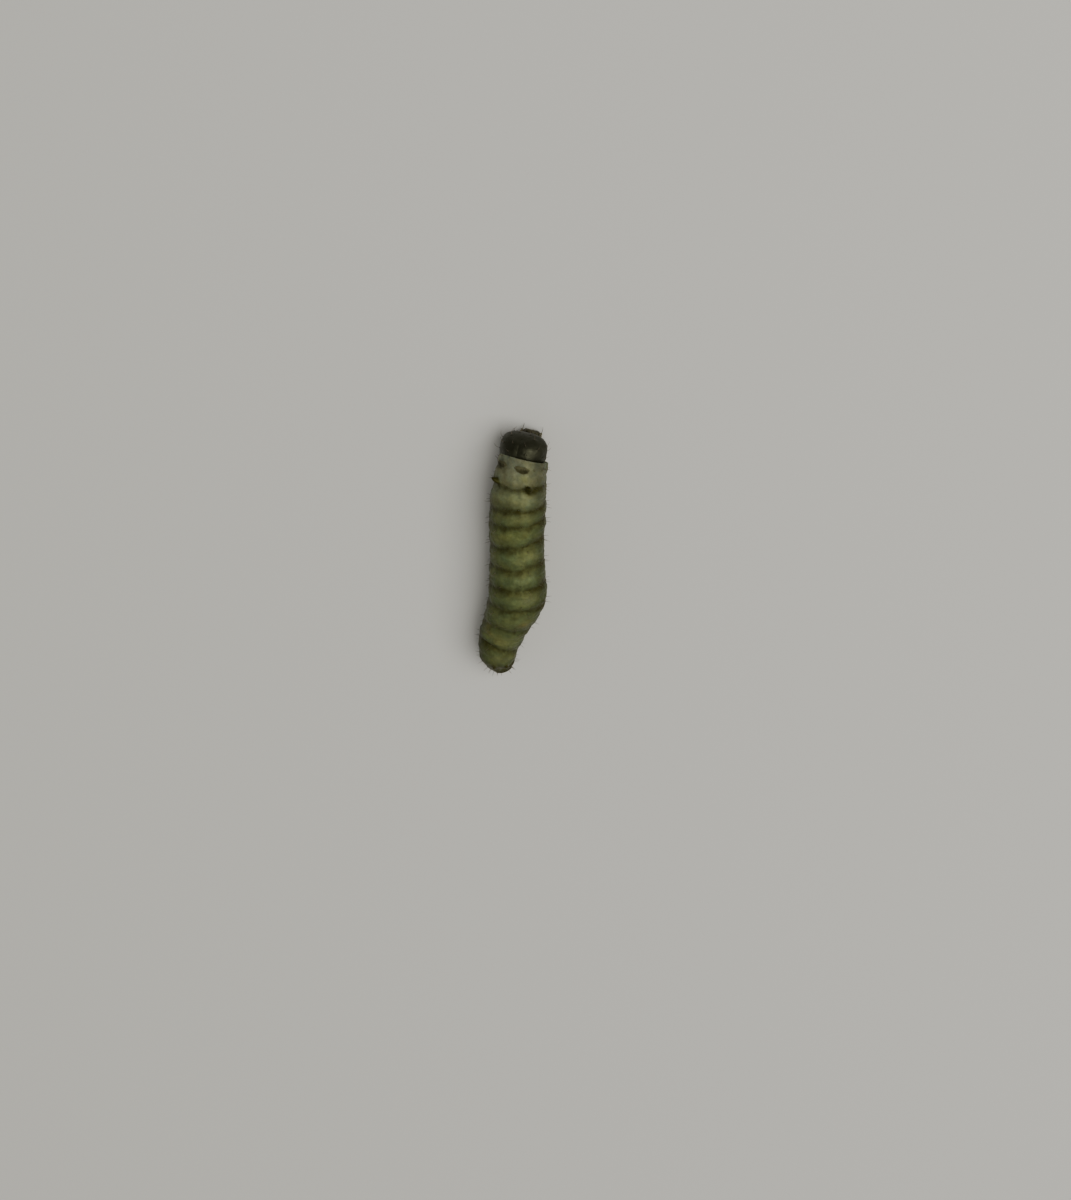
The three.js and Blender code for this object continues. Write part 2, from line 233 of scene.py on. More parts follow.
@dataclass
class BodyForm:
    """The larva's body as a run of rings on a curved spine, with the solids' own measures.

    Attributes:
        half_widths: Half-widths at even stations from neck to tail.
        ring_turns: Degrees that the rings turn towards the left, at the same stations.
        ring_rolls: Degrees that the rings roll towards the left, at the same stations.
        belly_squareness: How square the belly is. A round one has 2.
    """

    spine: tuple[Triple, ...] = (
        (-0.067, -1.19, 0.36),
        (-0.052, -1.07, 0.393),
        (-0.018, -0.7, 0.425),
        (0.0, -0.214, 0.435),
        (0.0, 0.373, 0.43),
        (0.004, 0.69, 0.425),
        (0.095, 0.951, 0.4),
        (0.222, 1.22, 0.355),
        (0.275, 1.49, 0.32),
        (0.275, 1.69, 0.09),
    )
    half_widths: tuple[float, ...] = (0.3, 0.336, 0.36, 0.34, 0.353, 0.367, 0.3, 0.245, 0.165)
    ring_turns: tuple[float, ...] = (10, 9, 0, -4, -4, -2, 8, 14, 8)
    ring_rolls: tuple[float, ...] = (24, 5, 0, 0, 0, 0, -4, -24, -34)
    lengths: tuple[tuple[str, float], ...] = (
        ("thorax_1", 0.162),
        ("thorax_2", 0.286),
        ("thorax_3", 0.268),
        ("abdomen_1", 0.23),
        ("abdomen_2", 0.295),
        ("abdomen_3", 0.28),
        ("abdomen_4", 0.27),
        ("abdomen_5", 0.27),
        ("abdomen_6", 0.32),
        ("abdomen_7", 0.32),
        ("abdomen_8", 0.18),
        ("abdomen_9", 0.072),
        ("abdomen_10", 0.122),
    )
    height_share: float = 0.925
    belly_squareness: float = 2.4
    tail_squareness: float = 2.4
    fold_depth: float = 0.006
    fold_width: float = 0.04
    full_half_width: float = 0.36

    def __post_init__(self) -> None:
        """Measures the spine and places the segments on it."""
        self._course = smooth_course(self.spine)
        steps = np.linalg.norm(np.diff(self._course, axis=0), axis=1)
        self._reach = np.concatenate([[0], np.cumsum(steps)])
        self._ways = np.gradient(self._course, self._reach, axis=0)
        self.length = float(self._reach[-1])
        stated = sum(length for _, length in self.lengths)
        ends = np.cumsum([length for _, length in self.lengths]) * self.length / stated
        starts = np.concatenate([[0], ends[:-1]])
        self.spans = {name: (a, b) for (name, _), a, b in zip(self.lengths, starts, ends)}
        self.folds = np.concatenate([[0], ends])

    def at(self, segment: str, share: float) -> float:
        """How far from the neck a place is that lies at a share of a segment's length."""
        start, end = self.spans[segment]
        return start + (end - start) * share

    def rings(self, s: Points) -> Rings:
        """The rings at distances s from the neck.

        Args:
            s: Distances from the neck.

        Returns:
            The rings.
        """
        s = np.atleast_1d(s)
        centre = np.stack([np.interp(s, self._reach, axis) for axis in self._course.T], 1)
        way = np.stack([np.interp(s, self._reach, axis) for axis in self._ways.T], 1)
        way /= np.linalg.norm(way, axis=1)[:, None]
        turn = np.radians(station_curve(self.ring_turns, s / self.length))
        roll = np.radians(station_curve(self.ring_rolls, s / self.length))[:, None]
        level = np.hypot(way[:, 0], way[:, 1])
        along = np.stack([level * np.sin(turn), level * np.cos(turn), way[:, 2]], 1)
        left = np.cross(along, [0, 0, 1])
        left /= np.linalg.norm(left, axis=1)[:, None]
        up = np.cross(left, along)
        cos, sin = np.cos(roll), np.sin(roll)
        return Rings(centre, along, left * cos - up * sin, up * cos + left * sin)

    def half_width(self, s: Points) -> Points:
        """The half-width at distances s, without folds, rounded shut at the tail.

        Args:
            s: Distances from the neck.

        Returns:
            The half-widths.
        """
        start, end = self.spans["abdomen_10"]
        rounding = np.clip((s - start) / (end - start), 0, 1) ** self.tail_squareness
        return station_curve(self.half_widths, s / self.length) * np.sqrt(1 - rounding)

    def girth(self, at: float) -> float:
        """The half-width at one distance from the neck."""
        return float(self.half_width(np.array([at]))[0])

    def from_fold(self, s: Points) -> Points:
        """How far points at distances s from the neck lie from the nearest fold."""
        return np.min(np.abs(s[:, None] - self.folds[None, 1:-1]), axis=1)

    def surface(self, s: Points, angle: Points, lift: Points | float = 0.0) -> Points:
        """Points of the body's surface.

        Args:
            s: Distances from the neck.
            angle: Angles from the top towards the left, in radians.
            lift: How far out of the surface the points stand.

        Returns:
            The points, in millimetres.
        """
        rings = self.rings(s)
        across, over = np.sin(angle), np.cos(angle)
        square = np.where(over < 0, squared(across, over, self.belly_squareness), 1)
        girth = self.half_width(s) * square
        width, height = girth + lift, girth * self.height_share + lift
        aside, upward = (across * width)[:, None], (over * height)[:, None]
        return rings.centre + rings.left * aside + rings.up * upward

    def outward(self, s: Points, angle: Points) -> Points:
        """The ways straight out of the surface.

        Args:
            s: Distances from the neck.
            angle: Angles from the top, in radians.

        Returns:
            Unit vectors.
        """
        rings = self.rings(s)
        out = rings.left * np.sin(angle)[:, None] + rings.up * np.cos(angle)[:, None]
        return out / np.linalg.norm(out, axis=1)[:, None]

    def apart(self, s: Points, angle: Points, at: float, degrees: float) -> tuple[Points, Points]:
        """How far points lie from one place, measured on the surface.

        Args:
            s: The points' distances from the neck.
            angle: The points' angles, in radians.
            at: The place's distance from the neck.
            degrees: The place's angle.

        Returns:
            The distances towards the left and towards the tail, in millimetres.
        """
        turn = (angle - math.radians(degrees) + np.pi) % (2 * np.pi) - np.pi
        return turn * self.girth(at), s - at


@dataclass
class HeadForm:
    """The head capsule's form and place, with the solids' own measures.

    Attributes:
        turn: Degrees that the head turns about the upright.
        roll: Degrees that it rolls to the side.
        cleft_top: The share of the upper half over which the cleft deepens.
    """

    centre: Triple = (-0.062, -1.275, 0.332)
    turn: float = -7
    roll: float = 6
    width: float = 0.6
    height: float = 0.56
    face_depth: float = 0.225
    nape_depth: float = 0.2
    plan_squareness: float = 2.7
    cleft_depth: float = 0.022
    cleft_width: float = 0.13
    cleft_top: float = 0.9
    cheek_narrowing: float = 0.24
    cheek_top: float = 0.05
    face_flatness: float = 0.12

    def capsule(self, unit: Points, lift: Points | float = 0.0) -> Points:
        """Points of the capsule in the head's own frame: left on X, back on Y and up on Z.

        Args:
            unit: Points of the unit sphere.
            lift: How far out of the surface the points stand.

        Returns:
            The points, in millimetres.
        """
        x, y, z = unit.T
        upper, lower = smooth_step(z, 0, self.cleft_top), smooth_step(-z, self.cheek_top, 1)
        cleft = self.cleft_depth * bell(x, self.cleft_width) * upper
        around = np.maximum(np.hypot(x, y), SMALL)
        square = 1 + (squared(x / around, y / around, self.plan_squareness) - 1) * around**2
        width = self.width / 2 * (1 - self.cheek_narrowing * lower) * square + lift
        flat = np.where(y < 0, 1 - self.face_flatness * (1 - x * x) * lower, 1)
        depth = np.where(y < 0, self.face_depth, self.nape_depth) * flat * square + lift
        height = self.height / 2 + lift
        return np.stack([x * width, y * depth, z * height], 1) * (1 - cleft)[:, None]

    def placed(self, local: Points) -> Points:
        """Carries points from the head's own frame to the larva's.

        Args:
            local: Points in the head's own frame.

        Returns:
            The points in the larva's frame.
        """
        turn, roll = math.radians(self.turn), math.radians(self.roll)
        cos, sin = math.cos(turn), math.sin(turn)
        about_z = np.array([[cos, -sin, 0], [sin, cos, 0], [0, 0, 1]])
        cos, sin = math.cos(roll), math.sin(roll)
        about_y = np.array([[cos, 0, sin], [0, 1, 0], [-sin, 0, cos]])
        return local @ (about_z @ about_y).T + np.array(self.centre)

    def face(self, side: int, aside: float, upward: float, lift: float = 0.0) -> Points:
        """A place on the capsule.

        Args:
            side: 1 for the left and -1 for the right.
            aside: Degrees from straight ahead to that side.
            upward: Degrees above the level.
            lift: How far out of the surface.

        Returns:
            The place in the head's own frame.
        """
        return self.capsule(direction(side, aside, upward)[None], lift)[0]


@dataclass
class Course:
    """A tapered limb along a curve.

    Attributes:
        points: Points that the curve passes, in millimetres.
        radii: Radii at even shares of its length.
        root_round: The share of the length over which the root rounds shut.
        tip_round: The share over which the tip rounds shut.
    """

    points: Sequence[Sequence[float]]
    radii: Sequence[float]
    root_round: float = 0.03
    tip_round: float = 0.06

    # How many steps each span of the curve is cut into.
    STEPS = 24
    # A way that no limb runs along, from which the ways across it are worked out.
    ASKEW = (0.31, 0.9, 0.17)

    def shares(self, unit: Points) -> Points:
        """The share of the length at which each point of the unit sphere lies."""
        return np.arccos(np.clip(-unit[:, 2], -1, 1)) / np.pi

    def place(self, unit: Points) -> Points:
        """Carries points of the unit sphere to the limb, the lower pole to its root.

        Args:
            unit: Points of the unit sphere.

        Returns:
            The limb's points.
        """
        course = smooth_course(self.points, self.STEPS)
        steps = np.linalg.norm(np.diff(course, axis=0), axis=1)
        reach = np.concatenate([[0], np.cumsum(steps)])
        ways = np.gradient(course, reach, axis=0)
        share = self.shares(unit)
        at = share * reach[-1]
        middle = np.stack([np.interp(at, reach, axis) for axis in course.T], 1)
        along = np.stack([np.interp(at, reach, axis) for axis in ways.T], 1)
        along /= np.linalg.norm(along, axis=1)[:, None]
        across = np.cross(along, self.ASKEW)
        across /= np.linalg.norm(across, axis=1)[:, None]
        over = np.cross(along, across)
        root = np.sqrt(1 - (1 - np.clip(share / self.root_round, 0, 1)) ** 2)
        tip = np.sqrt(1 - (1 - np.clip((1 - share) / self.tip_round, 0, 1)) ** 2)
        radius = (station_curve(self.radii, share) * root * tip)[:, None]
        spin = np.hypot(unit[:, 0], unit[:, 1])[:, None]
        ring = unit[:, :2] / np.maximum(spin, TINY)
        return middle + (across * ring[:, :1] + over * ring[:, 1:]) * radius


@dataclass
class Maker:
    """Collects closed forms in one mesh, in millimetres, and hands over a piece in metres.

    Attributes:
        shift: What is added to every point, in millimetres.
        keeps_map: Whether each form is a small patch of a bake map at its root's place.
    """

    name: str
    shift: Points
    keeps_map: bool = False
    mesh: bmesh.types.BMesh = field(default_factory=bmesh.new)
    marks: dict[str, list[Points]] = field(default_factory=dict)
    map_places: list[Points] = field(default_factory=list)

    # The side of a form's patch, as a share of the bake map.
    PATCH = 0.003

    def add(
        self,
        across: int,
        along: int,
        place: Placer,
        marks: dict[str, Placer] | None = None,
        root: tuple[float, float] = (0.5, 0.5),
    ) -> None:
        """Adds one closed form.

        Args:
            across: How many faces go round it.
            along: How many go from pole to pole.
            place: Carries points of the unit sphere to the form.
            marks: For each mark, its values from points of the unit sphere.
            root: The form's place on the bake map.
        """
        made = bmesh.ops.create_uvsphere(self.mesh, u_segments=across, v_segments=along, radius=1)
        unit = np.array([vert.co for vert in made["verts"]])
        unit /= np.linalg.norm(unit, axis=1)[:, None]
        points = (place(unit) + self.shift) * MM
        for vert, point in zip(made["verts"], points):
            vert.co = point
        for name, values in (marks or {}).items():
            self.marks.setdefault(name, []).append(values(unit))
        if self.keeps_map:
            turn = np.arctan2(unit[:, 0], unit[:, 1]) / (2 * np.pi)
            rise = np.arccos(np.clip(-unit[:, 2], -1, 1)) / np.pi - 0.5
            self.map_places.append(np.stack([turn, rise], 1) * self.PATCH + np.array(root))

    def finish(self, slot: Slot, material: Material, replaces: Sequence[str] = ()) -> None:
        """Makes the object.

        Args:
            slot: The piece's slot for its finish. It is not used.
            material: Its material.
            replaces: The solids that it stands for.
        """
        data = bpy.data.meshes.new(self.name)
        self.mesh.to_mesh(data)
        self.mesh.free()
        data.shade_smooth()
        for name, parts in self.marks.items():
            values = np.concatenate(parts)
            kind = "FLOAT_COLOR" if values.ndim == 2 else "FLOAT"
            attribute = data.attributes.new(name, kind, "POINT")
            if values.ndim == 2:
                values = np.hstack([values, np.ones((len(values), 1))])
            field_name = "color" if kind == "FLOAT_COLOR" else "value"
            attribute.data.foreach_set(field_name, values.astype(np.float32).ravel())
        if self.keeps_map:
            corners = np.zeros(len(data.loops), np.int32)
            data.loops.foreach_get("vertex_index", corners)
            bake_map = data.uv_layers.new(name="OFBake")
            bake_map.uv.foreach_set("vector", np.concatenate(self.map_places)[corners].ravel())
        data.materials.append(material)
        piece = bpy.data.objects.new(self.name, data)
        bpy.context.scene.collection.objects.link(piece)
        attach(piece, BODY)
        if replaces:
            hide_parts(*replaces)
        data.calc_loop_triangles()
        LOG.info("%s: %d triangles", self.name, len(data.loop_triangles))


@dataclass(frozen=True)
class Noise:
    """A cloudy pattern of a material.

    Attributes:
        scale: Waves a millimetre.
        detail: How many finer layers it has.
        rough: How strong the finer layers are.
        ends: The two values that it is stretched between. Without them it stays as it is.
        span: Which of its own values are carried to those ends.
    """

    scale: float
    detail: float = 3
    rough: float = 0.5
    ends: tuple[float, float] | None = None
    span: tuple[float, float] = (0.3, 0.7)


@dataclass
class Wiring:
    """Shader nodes of one material, added and joined in short calls."""

    name: str

    def __post_init__(self) -> None:
        """Makes the material with a shader and its coordinates in millimetres."""
        self.material = bpy.data.materials.new(self.name)
        self.material.use_nodes = True
        self.tree = self.material.node_tree
        self.shader = next(n for n in self.tree.nodes if n.type == "BSDF_PRINCIPLED")
        metres = self.node("ShaderNodeTexCoord").outputs["Object"]
        scaled = self.node("ShaderNodeMapping", Vector=metres, Scale=(1 / MM, 1 / MM, 1 / MM))
        self.place = scaled.outputs["Vector"]

    def node(self, kind: str, settings: dict[str, str] | None = None, **inputs: object) -> Node:
        """Adds a node.

        Args:
            kind: The node's type.
            settings: Properties of the node itself.
            **inputs: Values or output sockets for its inputs, spaces in names as underscores.

        Returns:
            The node.
        """
        made = self.tree.nodes.new(kind)
        for key, value in (settings or {}).items():
            setattr(made, key, value)
        self.fill(made, inputs)
        return made

    def fill(self, node: Node, inputs: dict[str, object]) -> None:
        """Gives a node's inputs their values or links, spaces in names as underscores."""
        for key, value in inputs.items():
            self.join(node.inputs[key.replace("_", " ")], value)

    def join(self, socket: Socket, value: object) -> None:
        """Links an output to a socket, or sets the socket's value.

        Args:
            socket: The socket.
            value: An output, or a plain value.
        """
        if isinstance(value, Socket):
            self.tree.links.new(value, socket)
        else:
            socket.default_value = value

    def finish(self, **inputs: object) -> Material:
        """Fills the shader's inputs and hands over the material."""
        self.fill(self.shader, inputs)
        return self.material

    def noise(self, pattern: Noise) -> Socket:
        """A cloudy pattern.

        Args:
            pattern: Its settings.

        Returns:
            Its output.
        """
        settings = {"Scale": pattern.scale, "Detail": pattern.detail, "Roughness": pattern.rough}
        raw = self.node("ShaderNodeTexNoise", None, Vector=self.place, **settings).outputs[0]
        return raw if pattern.ends is None else self.ranged(raw, pattern.span, pattern.ends)

    def cells(self, scale: float) -> Socket:
        """The distance to the nearest of scattered points, as rounded grains.

        Args:
            scale: Its scale.

        Returns:
            Its output.
        """
        settings = {"feature": "SMOOTH_F1"}
        made = self.node("ShaderNodeTexVoronoi", settings, Vector=self.place, Scale=scale)
        return made.outputs["Distance"]

    def ranged(self, value: Socket, span: Sequence[float], ends: Sequence[float]) -> Socket:
        """Carries the values of a span to two new ends, and holds all others at these ends.

        Args:
            value: An output, or a plain value.
            span: The two ends of the span.
            ends: The two new ends.

        Returns:
            The result's output.
        """
        made = self.node("ShaderNodeMapRange", None, Value=value)
        for index, number in enumerate((*span, *ends), 1):
            made.inputs[index].default_value = number
        return made.outputs[0]

    def combined(self, first: Socket, second: Socket, operation: str = "MULTIPLY") -> Socket:
        """Multiplies two values, or joins them by another operation.

        Args:
            first: The first value.
            second: The second value.
            operation: The operation's name.

        Returns:
            The result's output.
        """
        made = self.node("ShaderNodeMath", {"operation": operation})
        self.join(made.inputs[0], first)
        self.join(made.inputs[1], second)
        return made.outputs[0]

    def mixed(self, share: object, first: object, second: object, blend: str = "MIX") -> Socket:
        """Mixes two colours.

        Args:
            share: How much of the second.
            first: The first colour.
            second: The second colour.
            blend: How they are mixed.

        Returns:
            The output socket.
        """
        made = self.node("ShaderNodeMix", {"data_type": "RGBA", "blend_type": blend})
        for index, value in ((0, share), (6, first), (7, second)):
            if isinstance(value, tuple) and len(value) == 3:
                value = (*value, 1)
            self.join(made.inputs[index], value)
        return made.outputs[2]

    def tinted(self, first: object, second: object) -> Socket:
        """Multiplies two colours."""
        return self.mixed(1.0, first, second, "MULTIPLY")

    def mark(self, name: str, output: str = "Fac") -> Socket:
        """The values of one of the mesh's own marks."""
        return self.node("ShaderNodeAttribute", {"attribute_name": name}).outputs[output]

    def bump(self, height: Socket, depth: float, over: Socket | None = None) -> Socket:
        """Bends the normals by a height pattern.

        Args:
            height: The pattern, from 0 to 1.
            depth: How deep it is, in millimetres.
            over: Normals that it is laid over.

        Returns:
            The normals.
        """
        made = self.node("ShaderNodeBump", Height=height, Distance=depth * MM, Strength=1)
        if over is not None:
            self.join(made.inputs["Normal"], over)
        return made.outputs[0]


@dataclass(frozen=True)
class SkinFinish:
    """Thin, moist, faintly translucent skin with fine grains and soft, broken dark marks.

    Attributes:
        patches: How the dark marks are broken up.
        glow_shares: The shares of that way that red, green and blue light go.
    """

    dark: Colour = (0.0152, 0.0138, 0.0012)
    warm: Colour = (1.06, 1.0, 0.87)
    cool: Colour = (0.93, 1.0, 1.0)
    hues: Noise = Noise(7, 3, 0.5, (0, 1), (0.36, 0.64))
    patches: Noise = Noise(16, 3, 0.55, (0.62, 1.3))
    flecks: Noise = Noise(46, 3, 0.6, (0.84, 1.12))
    mottling: Noise = Noise(13, 4, 0.6, (0.72, 1.32))
    speckles: Noise = Noise(70, 2, 0.5, (0.93, 1.07), (0.35, 0.65))
    grain: float = 90
    grain_depth: float = 0.0016
    wrinkles: Noise = Noise(24, 4, 0.6)
    wrinkle_depth: float = 0.0042
    roughness: Noise = Noise(30, 3, 0.5, (0.42, 0.64))
    glow: float = 0.35
    glow_reach: float = 0.06
    glow_shares: Colour = (1.0, 0.85, 0.4)
    gloss: float = 0.3
    sheen: Colour = (0.94, 1.0, 0.4)

    def material(self) -> Material:
        """Builds the material.

        Returns:
            The material.
        """
        w = Wiring("larval_skin")
        broken = w.combined(w.mark("dark"), w.noise(self.patches))
        share = w.ranged(w.combined(broken, w.noise(self.flecks)), (0, 1), (0, 1))
        hue = w.mixed(w.noise(self.hues), self.warm, self.cool)
        tone = w.combined(w.noise(self.mottling), w.noise(self.speckles))
        pale = w.tinted(w.tinted(w.mark("tint", "Color"), hue), tone)
        wrinkled = w.bump(w.noise(self.wrinkles), self.wrinkle_depth)
        return w.finish(
            Base_Color=w.mixed(share, pale, self.dark),
            Normal=w.bump(w.cells(self.grain), self.grain_depth, wrinkled),
            Roughness=w.noise(self.roughness),
            Subsurface_Weight=self.glow,
            Subsurface_Radius=self.glow_shares,
            Subsurface_Scale=self.glow_reach * MM,
            Specular_IOR_Level=self.gloss,
            Specular_Tint=(*self.sheen, 1),
        )


@dataclass(frozen=True)
class ChitinFinish:
    """Hard, glossy cuticle, paler where it is thin.

    Attributes:
        lumps: The depth of its faint unevenness, in millimetres.
    """

    name: str
    dark: Colour
    pale: Colour
    roughness: tuple[float, float] = (0.3, 0.46)
    gloss: float = 0.35
    lumps: float = 0.002
    grain: float = 60
    grain_depth: float = 0.0012
    sheen: Colour = (0.96, 1.0, 0.66)
    breaks: Noise = Noise(26, 4, 0.6, (-0.2, 0.2))
    clouds: Noise = Noise(9, 5, 0.6, (0.7, 1.35), (0.25, 0.75))
    pits: Noise = Noise(40, 4, 0.6)
    swells: Noise = Noise(12, 3, 0.55)
    smears: float = 20

    def material(self) -> Material:
        """Builds the material.

        Returns:
            The material.
        """
        w = Wiring(self.name)
        broken = w.combined(w.mark("pale"), w.noise(self.breaks), "ADD")
        share = w.ranged(broken, (0.2, 0.8), (0, 1))
        uneven = w.bump(w.noise(self.swells), self.lumps)
        pitted = w.bump(w.noise(self.pits), self.grain_depth, uneven)
        net = w.ranged(w.cells(self.grain), (0, 0.6), (0, 1))
        return w.finish(
            Base_Color=w.mixed(share, w.tinted(self.dark, w.noise(self.clouds)), self.pale),
            Normal=w.bump(net, self.grain_depth, pitted),
            Roughness=w.noise(Noise(self.smears, ends=self.roughness)),
            Specular_IOR_Level=self.gloss,
            Specular_Tint=(*self.sheen, 1),
        )


@dataclass(frozen=True)
class LensFinish:
    """The small clear lenses over dark pigment."""

    dark: Colour = (0.008, 0.006, 0.004)
    edge: Colour = (0.03, 0.02, 0.011)
    clouds: Noise = Noise(50, 2)
    roughness: Noise = Noise(30, 2, 0.5, (0.08, 0.16))
    coat: float = 0.3
    coat_roughness: float = 0.1

    def material(self) -> Material:
        """Builds the material.

        Returns:
            The material.
        """
        w = Wiring("eye_lens")
        return w.finish(
            Base_Color=w.mixed(w.noise(self.clouds), self.dark, self.edge),
            Roughness=w.noise(self.roughness),
            Coat_Weight=self.coat,
            Coat_Roughness=self.coat_roughness,
        )


@dataclass(frozen=True)
class HairFinish:
    """Stiff dark hairs that thin out to a brown tip."""

    dark: Colour = (0.024, 0.018, 0.011)
    tip: Colour = (0.2, 0.15, 0.09)
    clouds: Noise = Noise(60, 2)
    roughness: Noise = Noise(80, 2, 0.5, (0.32, 0.46))

    def material(self) -> Material:
        """Builds the material.

        Returns:
            The material.
        """
        w = Wiring("stiff_hair")
        share = w.combined(w.mark("tip"), w.noise(self.clouds))
        colour = w.mixed(share, self.dark, self.tip)
        return w.finish(Base_Color=colour, Roughness=w.noise(self.roughness))


@dataclass(frozen=True)
class FloorFinish:
    """A plain pale matt floor."""

    light: Colour = (0.62, 0.62, 0.6)
    clouds: Noise = Noise(0.05, 2, 0.5, (0.985, 1.0))
    roughness: float = 0.85
    gloss: float = 0.2

    def material(self) -> Material:
        """Builds the material.

        Returns:
            The material.
        """
        w = Wiring("pale_floor")
        colour = w.tinted(self.light, w.noise(self.clouds))
        return w.finish(
            Base_Color=colour, Roughness=self.roughness, Specular_IOR_Level=self.gloss
        )


@dataclass(frozen=True)
class Seta:
    """One stiff hair on the body: where it stands and how it leans.

    Attributes:
        at: Its root's distance from the neck, in millimetres.
        degrees: Its root's angle from the top towards the left.
        length: Its length, in millimetres.
        lean: How far it leans towards the tail, as a share of its length.
        droop: How far its tip bends down, as a share of its length.
    """

    at: float
    degrees: float
    length: float
    lean: float
    droop: float

    # Skin further than this from the root, in millimetres along the body, is left alone.
    NEAR = 0.02

    def around(self, body: BodyForm, s: Points, angle: Points) -> tuple[Points, Points]:
        """Which points of the skin lie near the root, and how far from it, in millimetres.

        Args:
            body: The larva's body.
            s: Distances from the neck.
            angle: Angles from the top, in radians.

        Returns:
            The numbers of the near points, and their distances.
        """
        near = np.flatnonzero(np.abs(s - self.at) < self.NEAR)
        aside, back = body.apart(s[near], angle[near], self.at, self.degrees)
        return near, np.hypot(aside, back)


@dataclass
class HairPlan:
    """Where the body's stiff hairs stand.

    Attributes:
        first: The hairs on each side of the first segment: the place along the segment, the
            degrees from the top, the length, and the lean towards the tail.
        droop: How far their tips bend down, as a share of their length.
    """

    body: BodyForm
    seed: int = 7
    first: tuple[tuple[float, ...], ...] = (
        (0.7, 14, 0.075, -0.8),
        (0.66, 36, 0.08, -0.7),
        (0.6, 62, 0.08, -0.5),
        (0.55, 84, 0.07, -0.3),
        (0.5, 100, 0.065, -0.2),
        (0.5, 125, 0.06, 0.0),
        (0.45, 137, 0.05, 0.0),
    )
    thorax: tuple[tuple[float, ...], ...] = (
        (0.52, 13, 0.075, -0.3),
        (0.46, 56, 0.07, -0.2),
        (0.58, 70, 0.075, 0.1),
        (0.42, 90, 0.065, -0.1),
        (0.62, 98, 0.07, 0.2),
        (0.5, 124, 0.06, 0.0),
        (0.4, 160, 0.035, 0.0),
    )
    abdomen: tuple[tuple[float, ...], ...] = (
        (0.34, 22, 0.07, 0.1),
        (0.7, 37, 0.08, 0.45),
        (0.44, 64, 0.075, 0.2),
        (0.3, 78, 0.03, 0.0),
        (0.56, 98, 0.07, 0.2),
        (0.38, 106, 0.055, 0.0),
        (0.68, 122, 0.06, 0.2),
        (0.34, 138, 0.05, 0.0),
        (0.5, 166, 0.03, 0.0),
    )
    last: tuple[tuple[float, ...], ...] = (
        (0.3, 16, 0.08, 0.7),
        (0.55, 34, 0.09, 0.9),
        (0.45, 66, 0.085, 0.8),
        (0.6, 92, 0.075, 0.8),
    )
    place_jog: float = 0.004
    degree_jog: float = 1.2
    share_jog: float = 0.1
    droop: float = 0.12
    droop_jog: float = 0.05

    def pattern(self, segment: str) -> tuple[tuple[float, ...], ...]:
        """The hairs on each side of a segment."""
        usual = self.thorax if segment.startswith("thorax") else self.abdomen
        return {"thorax_1": self.first, "abdomen_10": self.last}.get(segment, usual)

    def setae(self) -> list[Seta]:
        """All the body's hairs, on both sides, each a little different.

        Returns:
            The hairs.
        """
        draw = np.random.default_rng(self.seed)
        made = []
        for name in self.body.spans:
            for place, degrees, length, lean in self.pattern(name):
                for side in SIDES.values():
                    jog = draw.normal(size=5)
                    seta = Seta(
                        at=self.body.at(name, place) + self.place_jog * jog[0],
                        degrees=side * (degrees + self.degree_jog * jog[1]),
                        length=length * (1 + self.share_jog * jog[2]),
                        lean=lean + self.share_jog * jog[3],
                        droop=self.droop + self.droop_jog * jog[4],
                    )
                    made.append(seta)
        return made


@dataclass(frozen=True)
class Band:
    """A dark band over the back.

    Attributes:
        segment: The segment that it crosses.
        place: Where its middle lies along the segment.
        half_width: Half its width, in millimetres.
        strengths: How dark it is at even steps from the left flank to the right one.
        course: How far behind its middle it lies at such steps, in millimetres.
    """

    segment: str
    place: float
    half_width: float
    strengths: tuple[float, ...]
    course: tuple[float, ...] = (0, 0, 0, 0, 0)

    def away(self, body: BodyForm, s: Points, angle: Points) -> Points:
        """How far behind the band's course points lie, in millimetres."""
        share = 0.5 - angle / np.pi
        return s - body.at(self.segment, self.place) - station_curve(self.course, share)

    def strength(self, angle: Points) -> Points:
        """How dark the band is at the given angles."""
        return station_curve(self.strengths, 0.5 - angle / np.pi)


@dataclass(frozen=True)
class Patch:
    """A soft oval patch on the skin.

    Attributes:
        segment: The segment that it lies on.
        place: Where its middle lies along the segment.
        degrees: Its middle's angle from the top towards the left.
        half_length: Half its length along the body, in millimetres.
        half_width: Half its width round the body, in millimetres.
        strength: How strong it is in its middle.
        slant: How far behind its middle it runs for each millimetre to the left.
    """

    segment: str
    place: float
    degrees: float
    half_length: float
    half_width: float
    strength: float = 1.0
    slant: float = 0.0

    def spread(self, body: BodyForm, s: Points, angle: Points) -> Points:
        """How strong the patch is at points of the skin.

        Args:
            body: The larva's body.
            s: Distances from the neck.
            angle: Angles from the top, in radians.

        Returns:
            The strengths.
        """
        aside, back = body.apart(s, angle, body.at(self.segment, self.place), self.degrees)
        back = back - self.slant * aside
        return self.strength * bell(np.hypot(aside / self.half_width, back / self.half_length), 1.0)


